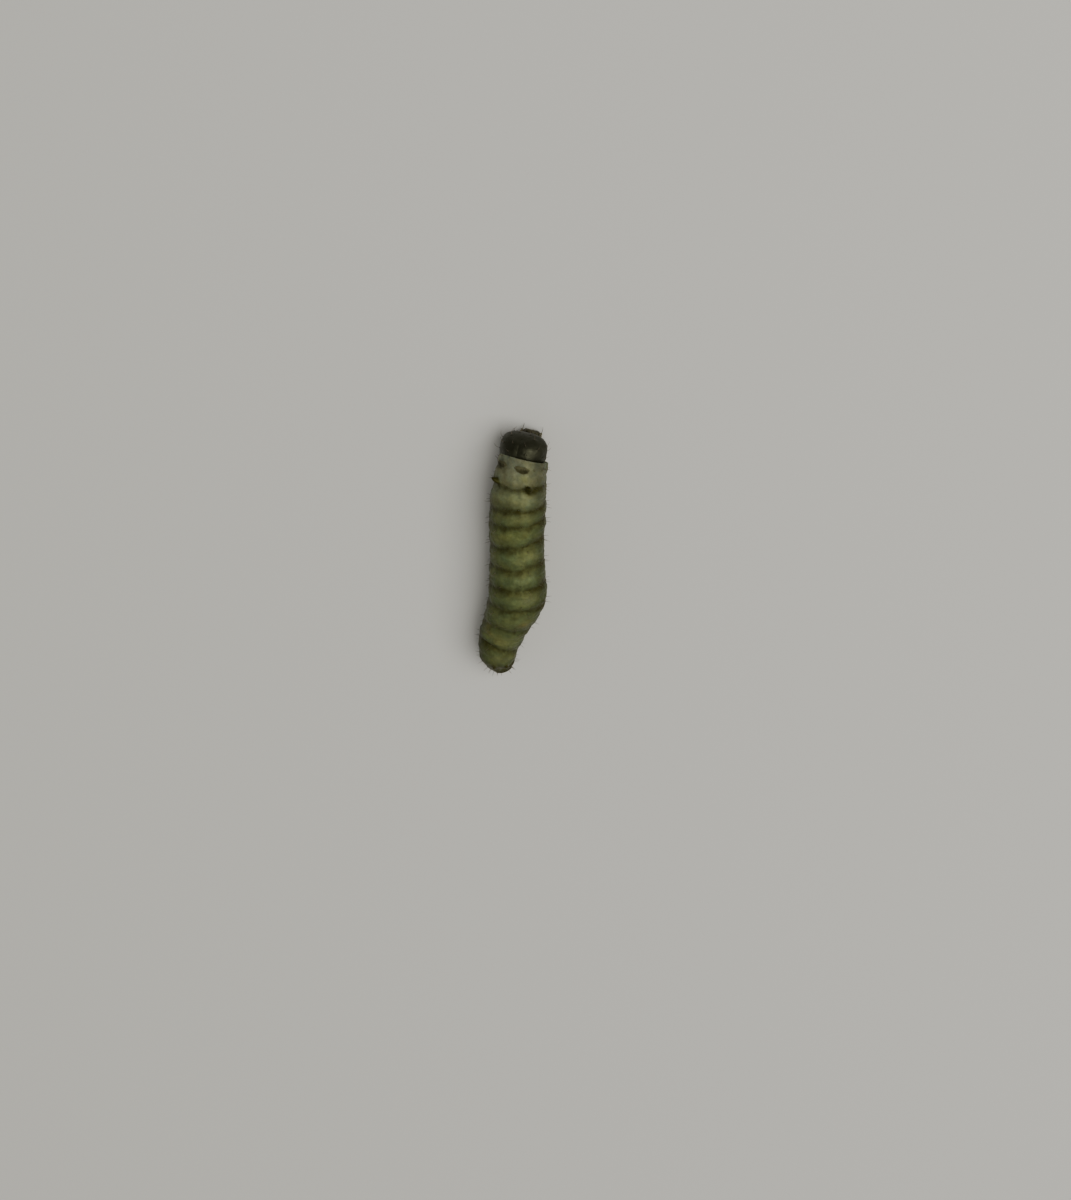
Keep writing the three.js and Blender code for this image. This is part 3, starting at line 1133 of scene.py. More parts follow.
BANDS = (
    Band("thorax_2", 0.52, 0.03, (0.8, 0.78, 0.85, 0.8), (0.08, 0.05, 0.036, 0.014, -0.034)),
    Band("thorax_3", 0.5, 0.046, (0.75, 0.92, 1.0, 0.85), (0.085, 0.07, 0.04, 0.034, -0.045)),
    Band("abdomen_1", 0.46, 0.04, (0.5, 0.68, 0.88, 0.72), (0.0, 0.0, 0.018, -0.008, -0.062)),
    Band("abdomen_2", 0.5, 0.043, (0.7, 0.82, 0.78, 0.92), (0.016, 0.024, 0.034, -0.02, -0.06)),
    Band(
        "abdomen_3", 0.52, 0.044, (0.88, 0.72, 0.82, 0.72), (-0.034, -0.006, 0.028, 0.008, -0.012)
    ),
    Band("abdomen_4", 0.52, 0.045, (0.88, 0.82, 0.8, 0.8), (-0.02, -0.002, 0.02, 0.024, -0.024)),
    Band("abdomen_5", 0.52, 0.044, (0.82, 0.7, 0.88, 0.78), (-0.042, -0.028, 0.006, 0.008, -0.018)),
    Band("abdomen_6", 0.52, 0.056, (0.4, 0.52, 0.64, 0.55), (-0.005, -0.003, 0.008, 0.02, 0.02)),
    Band("abdomen_7", 0.62, 0.046, (0.85, 0.82, 0.85, 0.7), (-0.05, -0.042, 0.012, 0.026, 0.03)),
    Band("abdomen_8", 0.8, 0.075, (0.9, 1.0, 1.0, 0.9)),
)


@dataclass
class Relief:
    """How the skin stands out of its plain form, all lengths in millimetres.

    Attributes:
        roll_reach: How far from a crease or fold a roll is at its highest.
        flank_folds: The height, the degrees from the top and the width in degrees of each
            lengthwise roll or groove of the flank.
    """

    body: BodyForm
    setae: list[Seta]
    bands: tuple[Band, ...] = BANDS
    flank: tuple[float, float] = (0.5, 1.7)
    flank_calm: float = 0.5
    seam_depth: float = 0.0015
    seam_deepening: float = 0.004
    seam_width: float = 0.014
    seam_change: float = 0.25
    seam_ripple: Ripple = Ripple(0.3, 3)
    crease_depth: float = 0.014
    crease_width: float = 0.042
    roll_height: float = 0.014
    roll_reach: float = 0.13
    minor_places: tuple[float, ...] = (0.22, 0.8)
    minor_depth: float = 0.002
    minor_width: float = 0.016
    flank_folds: tuple[Triple, ...] = ((-0.012, 112, 7), (0.012, 124, 9), (0.006, 86, 16))
    ripples: tuple[tuple[float, Ripple], ...] = (
        (0.0035, Ripple(0.16, 5)),
        (0.0012, Ripple(0.045, 6)),
    )
    root_height: float = 0.0035
    root_reach: tuple[float, float] = (0.005, 0.014)
    hip_degrees: float = 146
    hip_height: float = 0.03
    hip_width: float = 0.06
    tail_reach: float = 0.04

    def lift(self, s: Points, angle: Points, base: Points) -> Points:
        """How far points of the skin stand out.

        Args:
            s: Distances from the neck.
            angle: Angles from the top, in radians.
            base: The points' places on the plain form.

        Returns:
            The lifts.
        """
        body = self.body
        from_fold = body.from_fold(s)
        flank = smooth_step(np.abs(angle), *self.flank)
        calm = 1 - self.flank_calm * flank
        change = 1 + self.seam_change * self.seam_ripple.at(base)
        lift = -body.fold_depth * bell(from_fold, body.fold_width)
        depth = self.seam_depth + self.seam_deepening * flank
        lift -= depth * bell(from_fold, self.seam_width) * change
        from_crease = np.full(len(s), 1.0)
        for band in self.bands:
            away = band.away(body, s, angle)
            from_crease = np.minimum(from_crease, np.abs(away))
            lift -= self.crease_depth * bell(away, self.crease_width) * calm
        roll = self.roll_height * swell(from_crease, self.roll_reach)
        lift += (roll - self.roll_height / 2) * calm
        for start, end in body.spans.values():
            for place in self.minor_places:
                away = s - start - place * (end - start)
                lift -= self.minor_depth * bell(away, self.minor_width) * change
        degrees = np.degrees(np.abs(angle))
        bulge = swell(from_fold, self.roll_reach)
        for height, middle, width in self.flank_folds:
            lift += height * bell(degrees - middle, width) * bulge
        lift += sum(height * ripple.at(base) for height, ripple in self.ripples)
        for seta in self.setae:
            near, away = seta.around(body, s, angle)
            lift[near] += self.root_height * (1 - smooth_step(away, *self.root_reach))
        for segment in ("thorax_1", "thorax_2", "thorax_3"):
            for side in SIDES.values():
                at = body.at(segment, HIP_PLACE)
                away = np.hypot(*body.apart(s, angle, at, side * self.hip_degrees))
                lift += self.hip_height * bell(away, self.hip_width)
        return lift * smooth_step(body.length - s, 0, self.tail_reach)


@dataclass
class Markings:
    """The skin's dark marks and its tints. Lengths are in millimetres, angles in degrees.

    Attributes:
        edges: The share and the width of each of the two bells that a band's darkness is made of.
        dark_patches: Darker patches, round the neck plates and front buds and at the ends of bands.
        tail_places: Where its darkness starts, and where it is in full.
        tint_stations: Tints of the pale skin at even stations from the neck to the tail.
        flank_shade: On the right and the left, how much darker the flank is, and the angles over
            which it darkens. This is painted shade, stronger on the left, laid over a flank that is
            somewhat darker in itself.
        tones_and_highlights: Paler or warmer patches between the bands, and what they multiply the
            tint by.
    """

    body: BodyForm
    setae: list[Seta]
    bands: tuple[Band, ...] = BANDS
    band_waver: float = 0.010
    waver_ripple: Ripple = Ripple(0.3, 11)
    width_change: float = 0.22
    width_ripple: Ripple = Ripple(0.2, 12)
    edges: tuple[tuple[float, float], ...] = ((0.6, 0.9), (0.4, 2.0))
    band_ends: tuple[float, float] = (94, 134)
    flank_bands: float = 0.5
    flank_start: tuple[float, float] = (52, 84)
    spot_dark: float = 0.5
    spot_reach: tuple[float, float] = (0.02, 0.09)
    spot_degrees: float = 104
    spot_width: float = 16
    # Darker patches on the skin. The first, left of the neck, reaches out to the body's left edge
    # and is partly painted shade.
    dark_patches: tuple[Patch, ...] = (
        Patch("thorax_1", 0.86, 48, 0.04, 0.15, 1.5, 0.08),
        Patch("thorax_1", 0.68, -33, 0.024, 0.09, 0.5, -0.15),
        Patch("thorax_2", 0.62, -42, 0.042, 0.085, 1.3),
        Patch("thorax_2", 0.5, -62, 0.03, 0.11, 0.9),
        Patch("thorax_2", 0.6, 46, 0.036, 0.1, 0.75),
        Patch("abdomen_2", 0.5, -76, 0.04, 0.05, 0.8),
        Patch("abdomen_6", 0.6, -27, 0.03, 0.05, 0.55),
        Patch("abdomen_7", 0.62, 44, 0.055, 0.1, 0.6),
    )
    bud_dark: float = 1.9
    tail_dark: float = 0.95
    tail_places: tuple[tuple[str, float], ...] = (("abdomen_8", 0.6), ("abdomen_9", 0.5))
    root_dark: float = 0.7
    root_reach: tuple[float, float] = (0.004, 0.015)
    hole_place: float = 0.4
    hole_degrees: float = 92
    hole_slimness: float = 1.5
    hole_reach: tuple[float, float] = (0.008, 0.02)
    tint_stations: tuple[Colour, ...] = (
        (0.122, 0.128, 0.090),
        (0.108, 0.120, 0.070),
        (0.072, 0.086, 0.036),
        (0.072, 0.088, 0.037),
        (0.070, 0.086, 0.036),
        (0.067, 0.083, 0.034),
        (0.068, 0.083, 0.034),
        (0.060, 0.073, 0.030),
        (0.028, 0.033, 0.012),
    )
    flank_shade: tuple[Triple, Triple] = ((0.52, 28, 76), (0.64, 44, 84))
    belly_tint: Colour = (0.085, 0.095, 0.036)
    belly: tuple[float, float] = (105, 150)
    # How much a painted highlight along each fold lightens the upper skin, near the top of each
    # roll.
    fold_highlight: float = 0.14
    fold_width: float = 0.05
    # Lighter patches between the bands. The warm ones are the skin's own tone; the whitish ones,
    # which raise blue the most, are painted moist highlights.
    tones_and_highlights: tuple[tuple[Patch, Colour], ...] = (
        (Patch("thorax_2", 0.1, -32, 0.04, 0.06), (1.08, 1.0, 0.7)),
        (Patch("thorax_2", 0.95, 0, 0.07, 0.17), (1.16, 1.12, 1.0)),
        (Patch("abdomen_1", 0.85, -10, 0.06, 0.15), (1.16, 1.12, 1.0)),
        (Patch("abdomen_3", 0.0, -50, 0.06, 0.13), (1.5, 1.46, 1.6)),
        (Patch("abdomen_3", 0.97, -36, 0.06, 0.14), (1.4, 1.38, 1.5)),
        (Patch("abdomen_5", 0.03, -36, 0.05, 0.1), (1.3, 1.2, 1.5)),
        (Patch("abdomen_6", 0.55, 48, 0.06, 0.06), (1.6, 1.25, 1.05)),
        (Patch("abdomen_6", 0.86, 34, 0.05, 0.08), (1.35, 1.16, 1.05)),
        (Patch("abdomen_6", 0.22, -38, 0.045, 0.09), (1.35, 1.08, 1.0)),
        (Patch("abdomen_7", 0.16, 2, 0.07, 0.13), (1.3, 1.18, 1.15)),
        (Patch("abdomen_7", 0.98, 0, 0.045, 0.1), (1.35, 1.3, 1.45)),
    )
    cloud: float = 0.07
    cloud_shares: Colour = (1, 0.7, 0.3)
    cloud_ripple: Ripple = Ripple(0.26, 21)

    def dark(self, s: Points, angle: Points, base: Points, bud: Points) -> Points:
        """How dark the marks are. The material shows no more than 1, after it breaks them up.

        Args:
            s: Distances from the neck.
            angle: Angles from the top, in radians.
            base: The points' places on the plain form.
            bud: How much of a bud each point is.

        Returns:
            The darkness, from 0 upwards.
        """
        body = self.body
        degrees = np.degrees(np.abs(angle))
        waver = self.band_waver * self.waver_ripple.at(base)
        change = 1 + self.width_change * self.width_ripple.at(base)
        upper = 1 - smooth_step(degrees, *self.band_ends)
        deeper = 1 + self.flank_bands * smooth_step(degrees, *self.flank_start)
        dark = np.zeros(len(s))
        for band in self.bands:
            away = np.abs(band.away(body, s, angle) + waver)
            strength = band.strength(angle) * deeper
            share = away / (band.half_width * change)
            soft = sum(part * bell(share, width) for part, width in self.edges)
            dark = np.maximum(dark, strength * soft * upper)
            spot = self.spot_dark * strength * (1 - smooth_step(away, *self.spot_reach))
            dark = np.maximum(dark, spot * bell(degrees - self.spot_degrees, self.spot_width))
        # Darker patches, the one left of the neck partly painted shade.
        for dark_patch in self.dark_patches:
            dark = dark + np.maximum(1 - dark, 0) * dark_patch.spread(body, s, angle)
        tail = smooth_step(s, *(body.at(*place) for place in self.tail_places))
        dark = np.maximum(np.maximum(dark, self.bud_dark * bud), self.tail_dark * tail * upper)
        for seta in self.setae:
            near, away = seta.around(body, s, angle)
            root = self.root_dark * (1 - smooth_step(away, *self.root_reach))
            dark[near] = np.maximum(dark[near], root)
        for name in ("thorax_1", *(f"abdomen_{number}" for number in range(1, 9))):
            for side in SIDES.values():
                at, turn = body.at(name, self.hole_place), side * self.hole_degrees
                aside, back = body.apart(s, angle, at, turn)
                away = np.hypot(aside * self.hole_slimness, back)
                dark = np.maximum(dark, 1.0 - smooth_step(away, *self.hole_reach))
        return dark

    def tint(self, s: Points, angle: Points, base: Points) -> Points:
        """The pale skin's colours, with painted shade on the flanks and painted highlights along
        the folds and in some patches.

        Args:
            s: Distances from the neck.
            angle: Angles from the top, in radians.
            base: The points' places on the plain form.

        Returns:
            The colours, one a row.
        """
        body = self.body
        turn = np.degrees(angle)
        stations = np.array(self.tint_stations)
        tint = np.stack([station_curve(channel, s / body.length) for channel in stations.T], 1)
        # Painted shade on both flanks, stronger on the left.
        for side, (depth, low, high) in zip((-1, 1), self.flank_shade):
            tint *= (1 - depth * smooth_step(side * turn, low, high))[:, None]
        belly = smooth_step(np.abs(turn), *self.belly)[:, None]
        tint = tint * (1 - belly) + np.array(self.belly_tint) * belly
        # Painted highlight along each fold, on the upper side only.
        pale = self.fold_highlight * bell(body.from_fold(s), self.fold_width)
        tint *= 1 + pale[:, None] * (1 - belly)
        # Lighter patches: warm ones are the skin's own tone, whitish ones are painted moist
        # highlights.
        for lighter_patch, colour in self.tones_and_highlights:
            tint *= 1 + lighter_patch.spread(body, s, angle)[:, None] * (np.array(colour) - 1)
        cloud = self.cloud_ripple.at(base)[:, None]
        return tint * (1 + self.cloud * cloud * np.array(self.cloud_shares))


@dataclass
class Skin:
    """The whole soft body: one skin with folds, feet, buds, marks and tints.

    Lengths are in millimetres.

    Attributes:
        underside: The cosine of the angle from the top below which feet may form.
        foot_patch: How many times as wide the skin is that is drawn down for a foot.
        foot_outline: At even shares of that patch, how far out the skin goes.
        foot_heights: At the same shares, how high it stays.
        bud_outline: At even shares of a root's reach, how far out the skin goes.
        bud_heights: At the same shares, how high it goes.
        bud_lean: How far the buds lean towards the head and outwards, for their height.
        painted: The values of the marks, once the skin is placed.
    """

    body: BodyForm
    relief: Relief
    markings: Markings
    shift: Points
    around: int = 208
    neck_rows: int = 16
    body_rows: int = 392
    tail_rows: int = 34
    cup_depth: float = 0.06
    cup_inset: float = 0.98
    lip: float = 0.008
    lip_width: float = 0.03
    underside: float = 0.25
    foot_segments: tuple[str, ...] = ("abdomen_3", "abdomen_4", "abdomen_5", "abdomen_6")
    foot_spread: float = 0.155
    foot_outset: float = 1.05
    foot_reach: float = 0.118
    foot_patch: float = 1.4
    foot_top: float = 0.34
    foot_lean: float = 0.014
    foot_outline: tuple[float, ...] = (0, 0.22, 0.45, 0.54, 0.66, 0.86, 1.13, 1.4)
    foot_heights: tuple[float, ...] = (0, 0.0, 0.02, 0.4, 0.78, 0.95, 1.0, 1.0)
    last_place: float = 0.2
    last_spread: float = 0.09
    last_reach: float = 0.096
    buds: tuple[tuple[str, float, float, float, float], ...] = (
        ("thorax_2", 0.54, 38, 0.078, 0.078),
        ("abdomen_8", 0.5, 19, 0.05, 0.028),
    )
    bud_outline: tuple[float, ...] = (0, 0.17, 0.33, 0.45, 0.6, 1.0)
    bud_heights: tuple[float, ...] = (1, 0.97, 0.8, 0.45, 0.14, 0)
    bud_lean: tuple[float, float] = (0.35, 0.25)
    bud_foot: float = 0.45
    painted: dict[str, Points] = field(default_factory=dict)

    def rows(self) -> Points:
        """Distances from the neck at the grid's rows, behind the rows of the neck's cup.

        Returns:
            The distances.
        """
        tail = self.body.spans["abdomen_10"][0]
        straight = np.linspace(0, tail, self.body_rows, endpoint=False)
        closing = np.sin(np.linspace(0, np.pi / 2, self.tail_rows + 1))
        return np.concatenate([straight, tail + (self.body.length - tail) * closing])

    def build(self, material: Material) -> None:
        """Builds and dresses the skin.

        Args:
            material: Its material.
        """
        maker = Maker("body_skin", self.shift)
        count = self.neck_rows + len(self.rows()) - 1
        marks = {name: partial(self.painted_as, name) for name in ("dark", "tint")}
        maker.add(self.around, count, self.place, marks)
        flesh = [*self.body.spans]
        for side in SIDES:
            flesh += [f"proleg_{number}_{side}" for number in (3, 4, 5, 6, 10)]
            flesh += [f"front_filament_{side}", f"rear_filament_{side}"]
        maker.finish(Slot.SKIN, material, flesh)

    def painted_as(self, name: str, _: Points) -> Points:
        """The values of one mark, which were worked out as the skin was placed."""
        return self.painted[name]

    def place(self, unit: Points) -> Points:
        """Carries the unit sphere's points to the skin, and works out their marks.

        Args:
            unit: Points of the unit sphere.

        Returns:
            The points in the larva's frame.
        """
        rows = self.rows()
        last = self.neck_rows + len(rows) - 1
        row = np.rint(np.arccos(np.clip(unit[:, 2], -1, 1)) / np.pi * last).astype(int)
        angle = np.arctan2(unit[:, 0], unit[:, 1])
        inside = row < self.neck_rows
        s = np.where(inside, 0, rows[np.clip(row - self.neck_rows, 0, len(rows) - 1)])
        s, angle, lift, bud = self.raise_buds(s, angle)
        base = self.body.surface(s, angle)
        lift = lift + self.relief.lift(s, angle, base)
        rim = (1 - smooth_step(s, 0, self.lip_width)) ** 2
        lift -= self.lip * rim * np.where(inside, 0, 1)
        points = self.body.surface(s, angle, lift)
        points = self.cup(points, np.minimum(row / self.neck_rows, 1), inside)
        dark, tint = self.markings.dark(s, angle, base, bud), self.markings.tint(s, angle, base)
        self.painted = {"dark": dark, "tint": tint}
        return above_floor(self.lower_feet(points, np.cos(angle) < self.underside))

    def cup(self, points: Points, share: Points, inside: Points) -> Points:
        """Sinks the rows inside the neck into a shallow cup round the back of the head.

        Args:
            points: The skin's points.
            share: How far out in the cup each row lies.
            inside: Which points are inside the neck.

        Returns:
            The points with the cup formed.
        """
        ring = self.body.rings(np.array([0.0]))
        middle, along = ring.centre[0], ring.along[0]
        rim = (points - middle) * share[:, None] * self.cup_inset
        sunk = middle + rim + along * (self.cup_depth * (1 - share**2))[:, None]
        return np.where(inside[:, None], sunk, points)

    def raise_buds(self, s: Points, angle: Points) -> tuple[Points, Points, Points, Points]:
        """Gathers skin into the fleshy buds on the back.

        Args:
            s: Distances from the neck.
            angle: Angles from the top, in radians.

        Returns:
            The new distances, angles and lifts, and how much of a bud each point is.
        """
        lift, bud = np.zeros(len(s)), np.zeros(len(s))
        ahead, outward = self.bud_lean
        for segment, place, turn, reach, height in self.buds:
            at = self.body.at(segment, place)
            girth = self.body.girth(at)
            for side in SIDES.values():
                aside, back = self.body.apart(s, angle, at, side * turn)
                share = np.hypot(aside, back) / reach
                near = share < 1
                squeeze = station_curve(self.bud_outline, share) / np.maximum(share, SMALL)
                grown = height * station_curve(self.bud_heights, share)
                new_s = at + back * squeeze - ahead * grown
                moved = aside * squeeze + side * outward * grown
                new_angle = math.radians(side * turn) + moved / girth
                s, angle = np.where(near, new_s, s), np.where(near, new_angle, angle)
                lift = np.where(near, grown, lift)
                bud = np.where(near, smooth_step(1 - share, 0.0, self.bud_foot), bud)
        return s, angle, lift, bud

    def feet(self) -> Iterator[tuple[float, float, float]]:
        """Each pair's distance from the neck, how far aside its feet stand, and their reach.

        Yields:
            The three numbers of each pair.
        """
        for segment in self.foot_segments:
            at = self.body.at(segment, 0.5)
            spread = self.foot_spread * self.body.girth(at) / self.body.full_half_width
            yield at, spread * self.foot_outset, self.foot_reach
        yield self.body.at("abdomen_10", self.last_place), self.last_spread, self.last_reach

    def lower_feet(self, points: Points, under: Points) -> Points:
        """Draws patches of the belly down into stumpy feet that stand on the floor.

        Args:
            points: The skin's points.
            under: Which of them are on the underside.

        Returns:
            The points with the feet formed.
        """
        for at, spread, reach in self.feet():
            ring = self.body.rings(at)
            for side in SIDES.values():
                middle = ring.centre[0, :2] + ring.left[0, :2] * side * spread
                away = points[:, :2] - middle
                share = np.hypot(away[:, 0], away[:, 1]) / (reach * self.foot_patch)
                near = under & (share < 1) & (points[:, 2] < self.foot_top)
                outline = station_curve(self.foot_outline, share)
                wide = outline / np.maximum(share, SMALL) / self.foot_patch
                high = np.clip(station_curve(self.foot_heights, share), 0, 1)
                out = ring.left[0, :2] * side * self.foot_lean * (1 - high)[:, None]
                moved = np.column_stack([middle + away * wide[:, None] + out, points[:, 2] * high])
                points = np.where(near[:, None], moved, points)
        return points


@dataclass
class BodyPlate:
    """A hard plate on the back, domed, with a rounded oval or three-cornered outline.

    Attributes:
        at: Its middle's distance from the neck, in millimetres.
        degrees: Its middle's angle.
        corners: How far it is three-cornered.
        fade: How pale it is towards the top of the back.
        front_fade: How pale its front edge is.
    """

    name: str
    at: float
    degrees: float
    half_length: float
    half_degrees: float
    corners: float = 0.0
    fade: float = 0.0
    front_fade: float = 0.0
    lift: float = 0.006
    thickness: float = 0.009
    doming: float = 0.6
    waves: int = 7
    wave_depth: float = 0.05
    edge_pale: float = 0.8
    edge_heights: tuple[float, float] = (0.05, 0.65)
    front_places: tuple[float, float] = (-0.2, 0.8)

    def place(self, body: BodyForm, unit: Points) -> Points:
        """Carries the unit sphere's points to the plate.

        Args:
            body: The larva's body.
            unit: Points of the unit sphere.

        Returns:
            The points in the larva's frame.
        """
        x, y, z = unit.T
        around = np.arctan2(y, x)
        shape = 1 + self.corners * np.cos(3 * around + np.pi / 2)
        wave = 1 + self.wave_depth * np.sin(self.waves * around + self.degrees)
        height = self.thickness * np.where(z > 0, np.abs(z) ** self.doming, z)
        s = self.at + y * self.half_length * shape * wave
        angle = np.radians(self.degrees + x * self.half_degrees * shape * wave)
        return body.surface(s, angle, self.lift + height)

    def pale(self, unit: Points) -> Points:
        """How pale the plate is: along its edge, at its front, and towards the top of the back.

        Args:
            unit: Points of the unit sphere.

        Returns:
            The paleness, 0 to 1.
        """
        edge = self.edge_pale * (1 - smooth_step(unit[:, 2], *self.edge_heights))
        front = self.front_fade * smooth_step(-unit[:, 1], *self.front_places)
        upward = self.fade * (0.6 - math.copysign(0.4, self.degrees) * unit[:, 0])
        return np.clip(edge + front + upward, 0, 1)

    def build(self, body: BodyForm, shift: Points, material: Material) -> None:
        """Builds and dresses the plate.

        Args:
            body: The larva's body.
            shift: What is added to every point.
            material: Its material.
        """
        maker = Maker(self.name, shift)
        maker.add(40, 28, partial(self.place, body), {"pale": self.pale})
        maker.finish(Slot.PLATE, material, (self.name,))


@dataclass
class TrueLeg:
    """A jointed walking leg with a single claw.

    Attributes:
        reach: How far its claw is ahead of its root, in millimetres.
        course: Its course: how far aside, what share of its reach ahead, and how high.
        joints: The shares of its length at which its joints are.
    """

    number: int
    side: str
    reach: float
    course: tuple[Triple, ...] = (
        (0.105, -0.2, 0.235),
        (0.165, 0, 0.145),
        (0.222, 0.3, 0.105),
        (0.246, 0.7, 0.062),
        (0.236, 1, 0.022),
        (0.218, 1.1, 0.001),
    )
    radii: tuple[float, ...] = (
        0.05, 0.058, 0.06, 0.057, 0.05, 0.041, 0.046, 0.044, 0.034, 0.036, 0.034, 0.026,
        0.028, 0.025, 0.018, 0.019, 0.014, 0.008, 0.003,
    )
    joints: tuple[float, ...] = (0.28, 0.445, 0.61, 0.78)
    joint_pale: float = 0.85
    joint_width: float = 0.018
    root_pale: float = 0.12

    def limb(self, body: BodyForm) -> Course:
        """The leg's limb in the larva's frame.

        Args:
            body: The larva's body.

        Returns:
            The limb.
        """
        at = body.at(f"thorax_{self.number}", HIP_PLACE)
        ring = body.rings(at)
        middle, left, along = ring.centre[0], ring.left[0], ring.along[0]
        spread = SIDES[self.side] * body.girth(at) / body.full_half_width
        points = []
        for aside, ahead, height in self.course:
            place = middle + left * spread * aside - along * ahead * self.reach
            points.append((place[0], place[1], height))
        return Course(points, self.radii, 0.02, 0.01)

    def pale(self, share: Points) -> Points:
        """How pale the leg is at shares of its length: at its joints and its root.

        Args:
            share: Shares of the leg's length.

        Returns:
            The paleness, 0 to 1.
        """
        rings = sum(bell(share - joint, self.joint_width) for joint in self.joints)
        root = smooth_step(self.root_pale - share, 0, 0.1)
        return np.clip(self.joint_pale * rings + root, 0, 1)

    def build(self, body: BodyForm, shift: Points, material: Material) -> None:
        """Builds and dresses the leg.

        Args:
            body: The larva's body.
            shift: What is added to every point.
            material: Its material.
        """
        name = f"leg_{self.number}_{self.side}"
        limb = self.limb(body)
        maker = Maker(name, shift)
        marks = {"pale": lambda unit: self.pale(limb.shares(unit))}
        maker.add(28, 90, lambda unit: above_floor(limb.place(unit)), marks)
        maker.finish(Slot.LEG, material, (name,))


@dataclass(frozen=True)
class FaceSpot:
    """A soft spot on the head, the same on both sides.

    Attributes:
        strength: How strong it is in its middle.
        aside: Its middle's degrees from straight ahead.
        half_width: Half its width, in degrees.
        upward: Its middle's degrees above the level.
        half_height: Half its height, in degrees.
    """

    strength: float
    aside: float
    half_width: float
    upward: float
    half_height: float

    def at(self, aside: Points, upward: Points) -> Points:
        """How strong the spot is at points so many degrees aside and upward."""
        across = bell(aside - self.aside, self.half_width)
        return self.strength * across * bell(upward - self.upward, self.half_height)


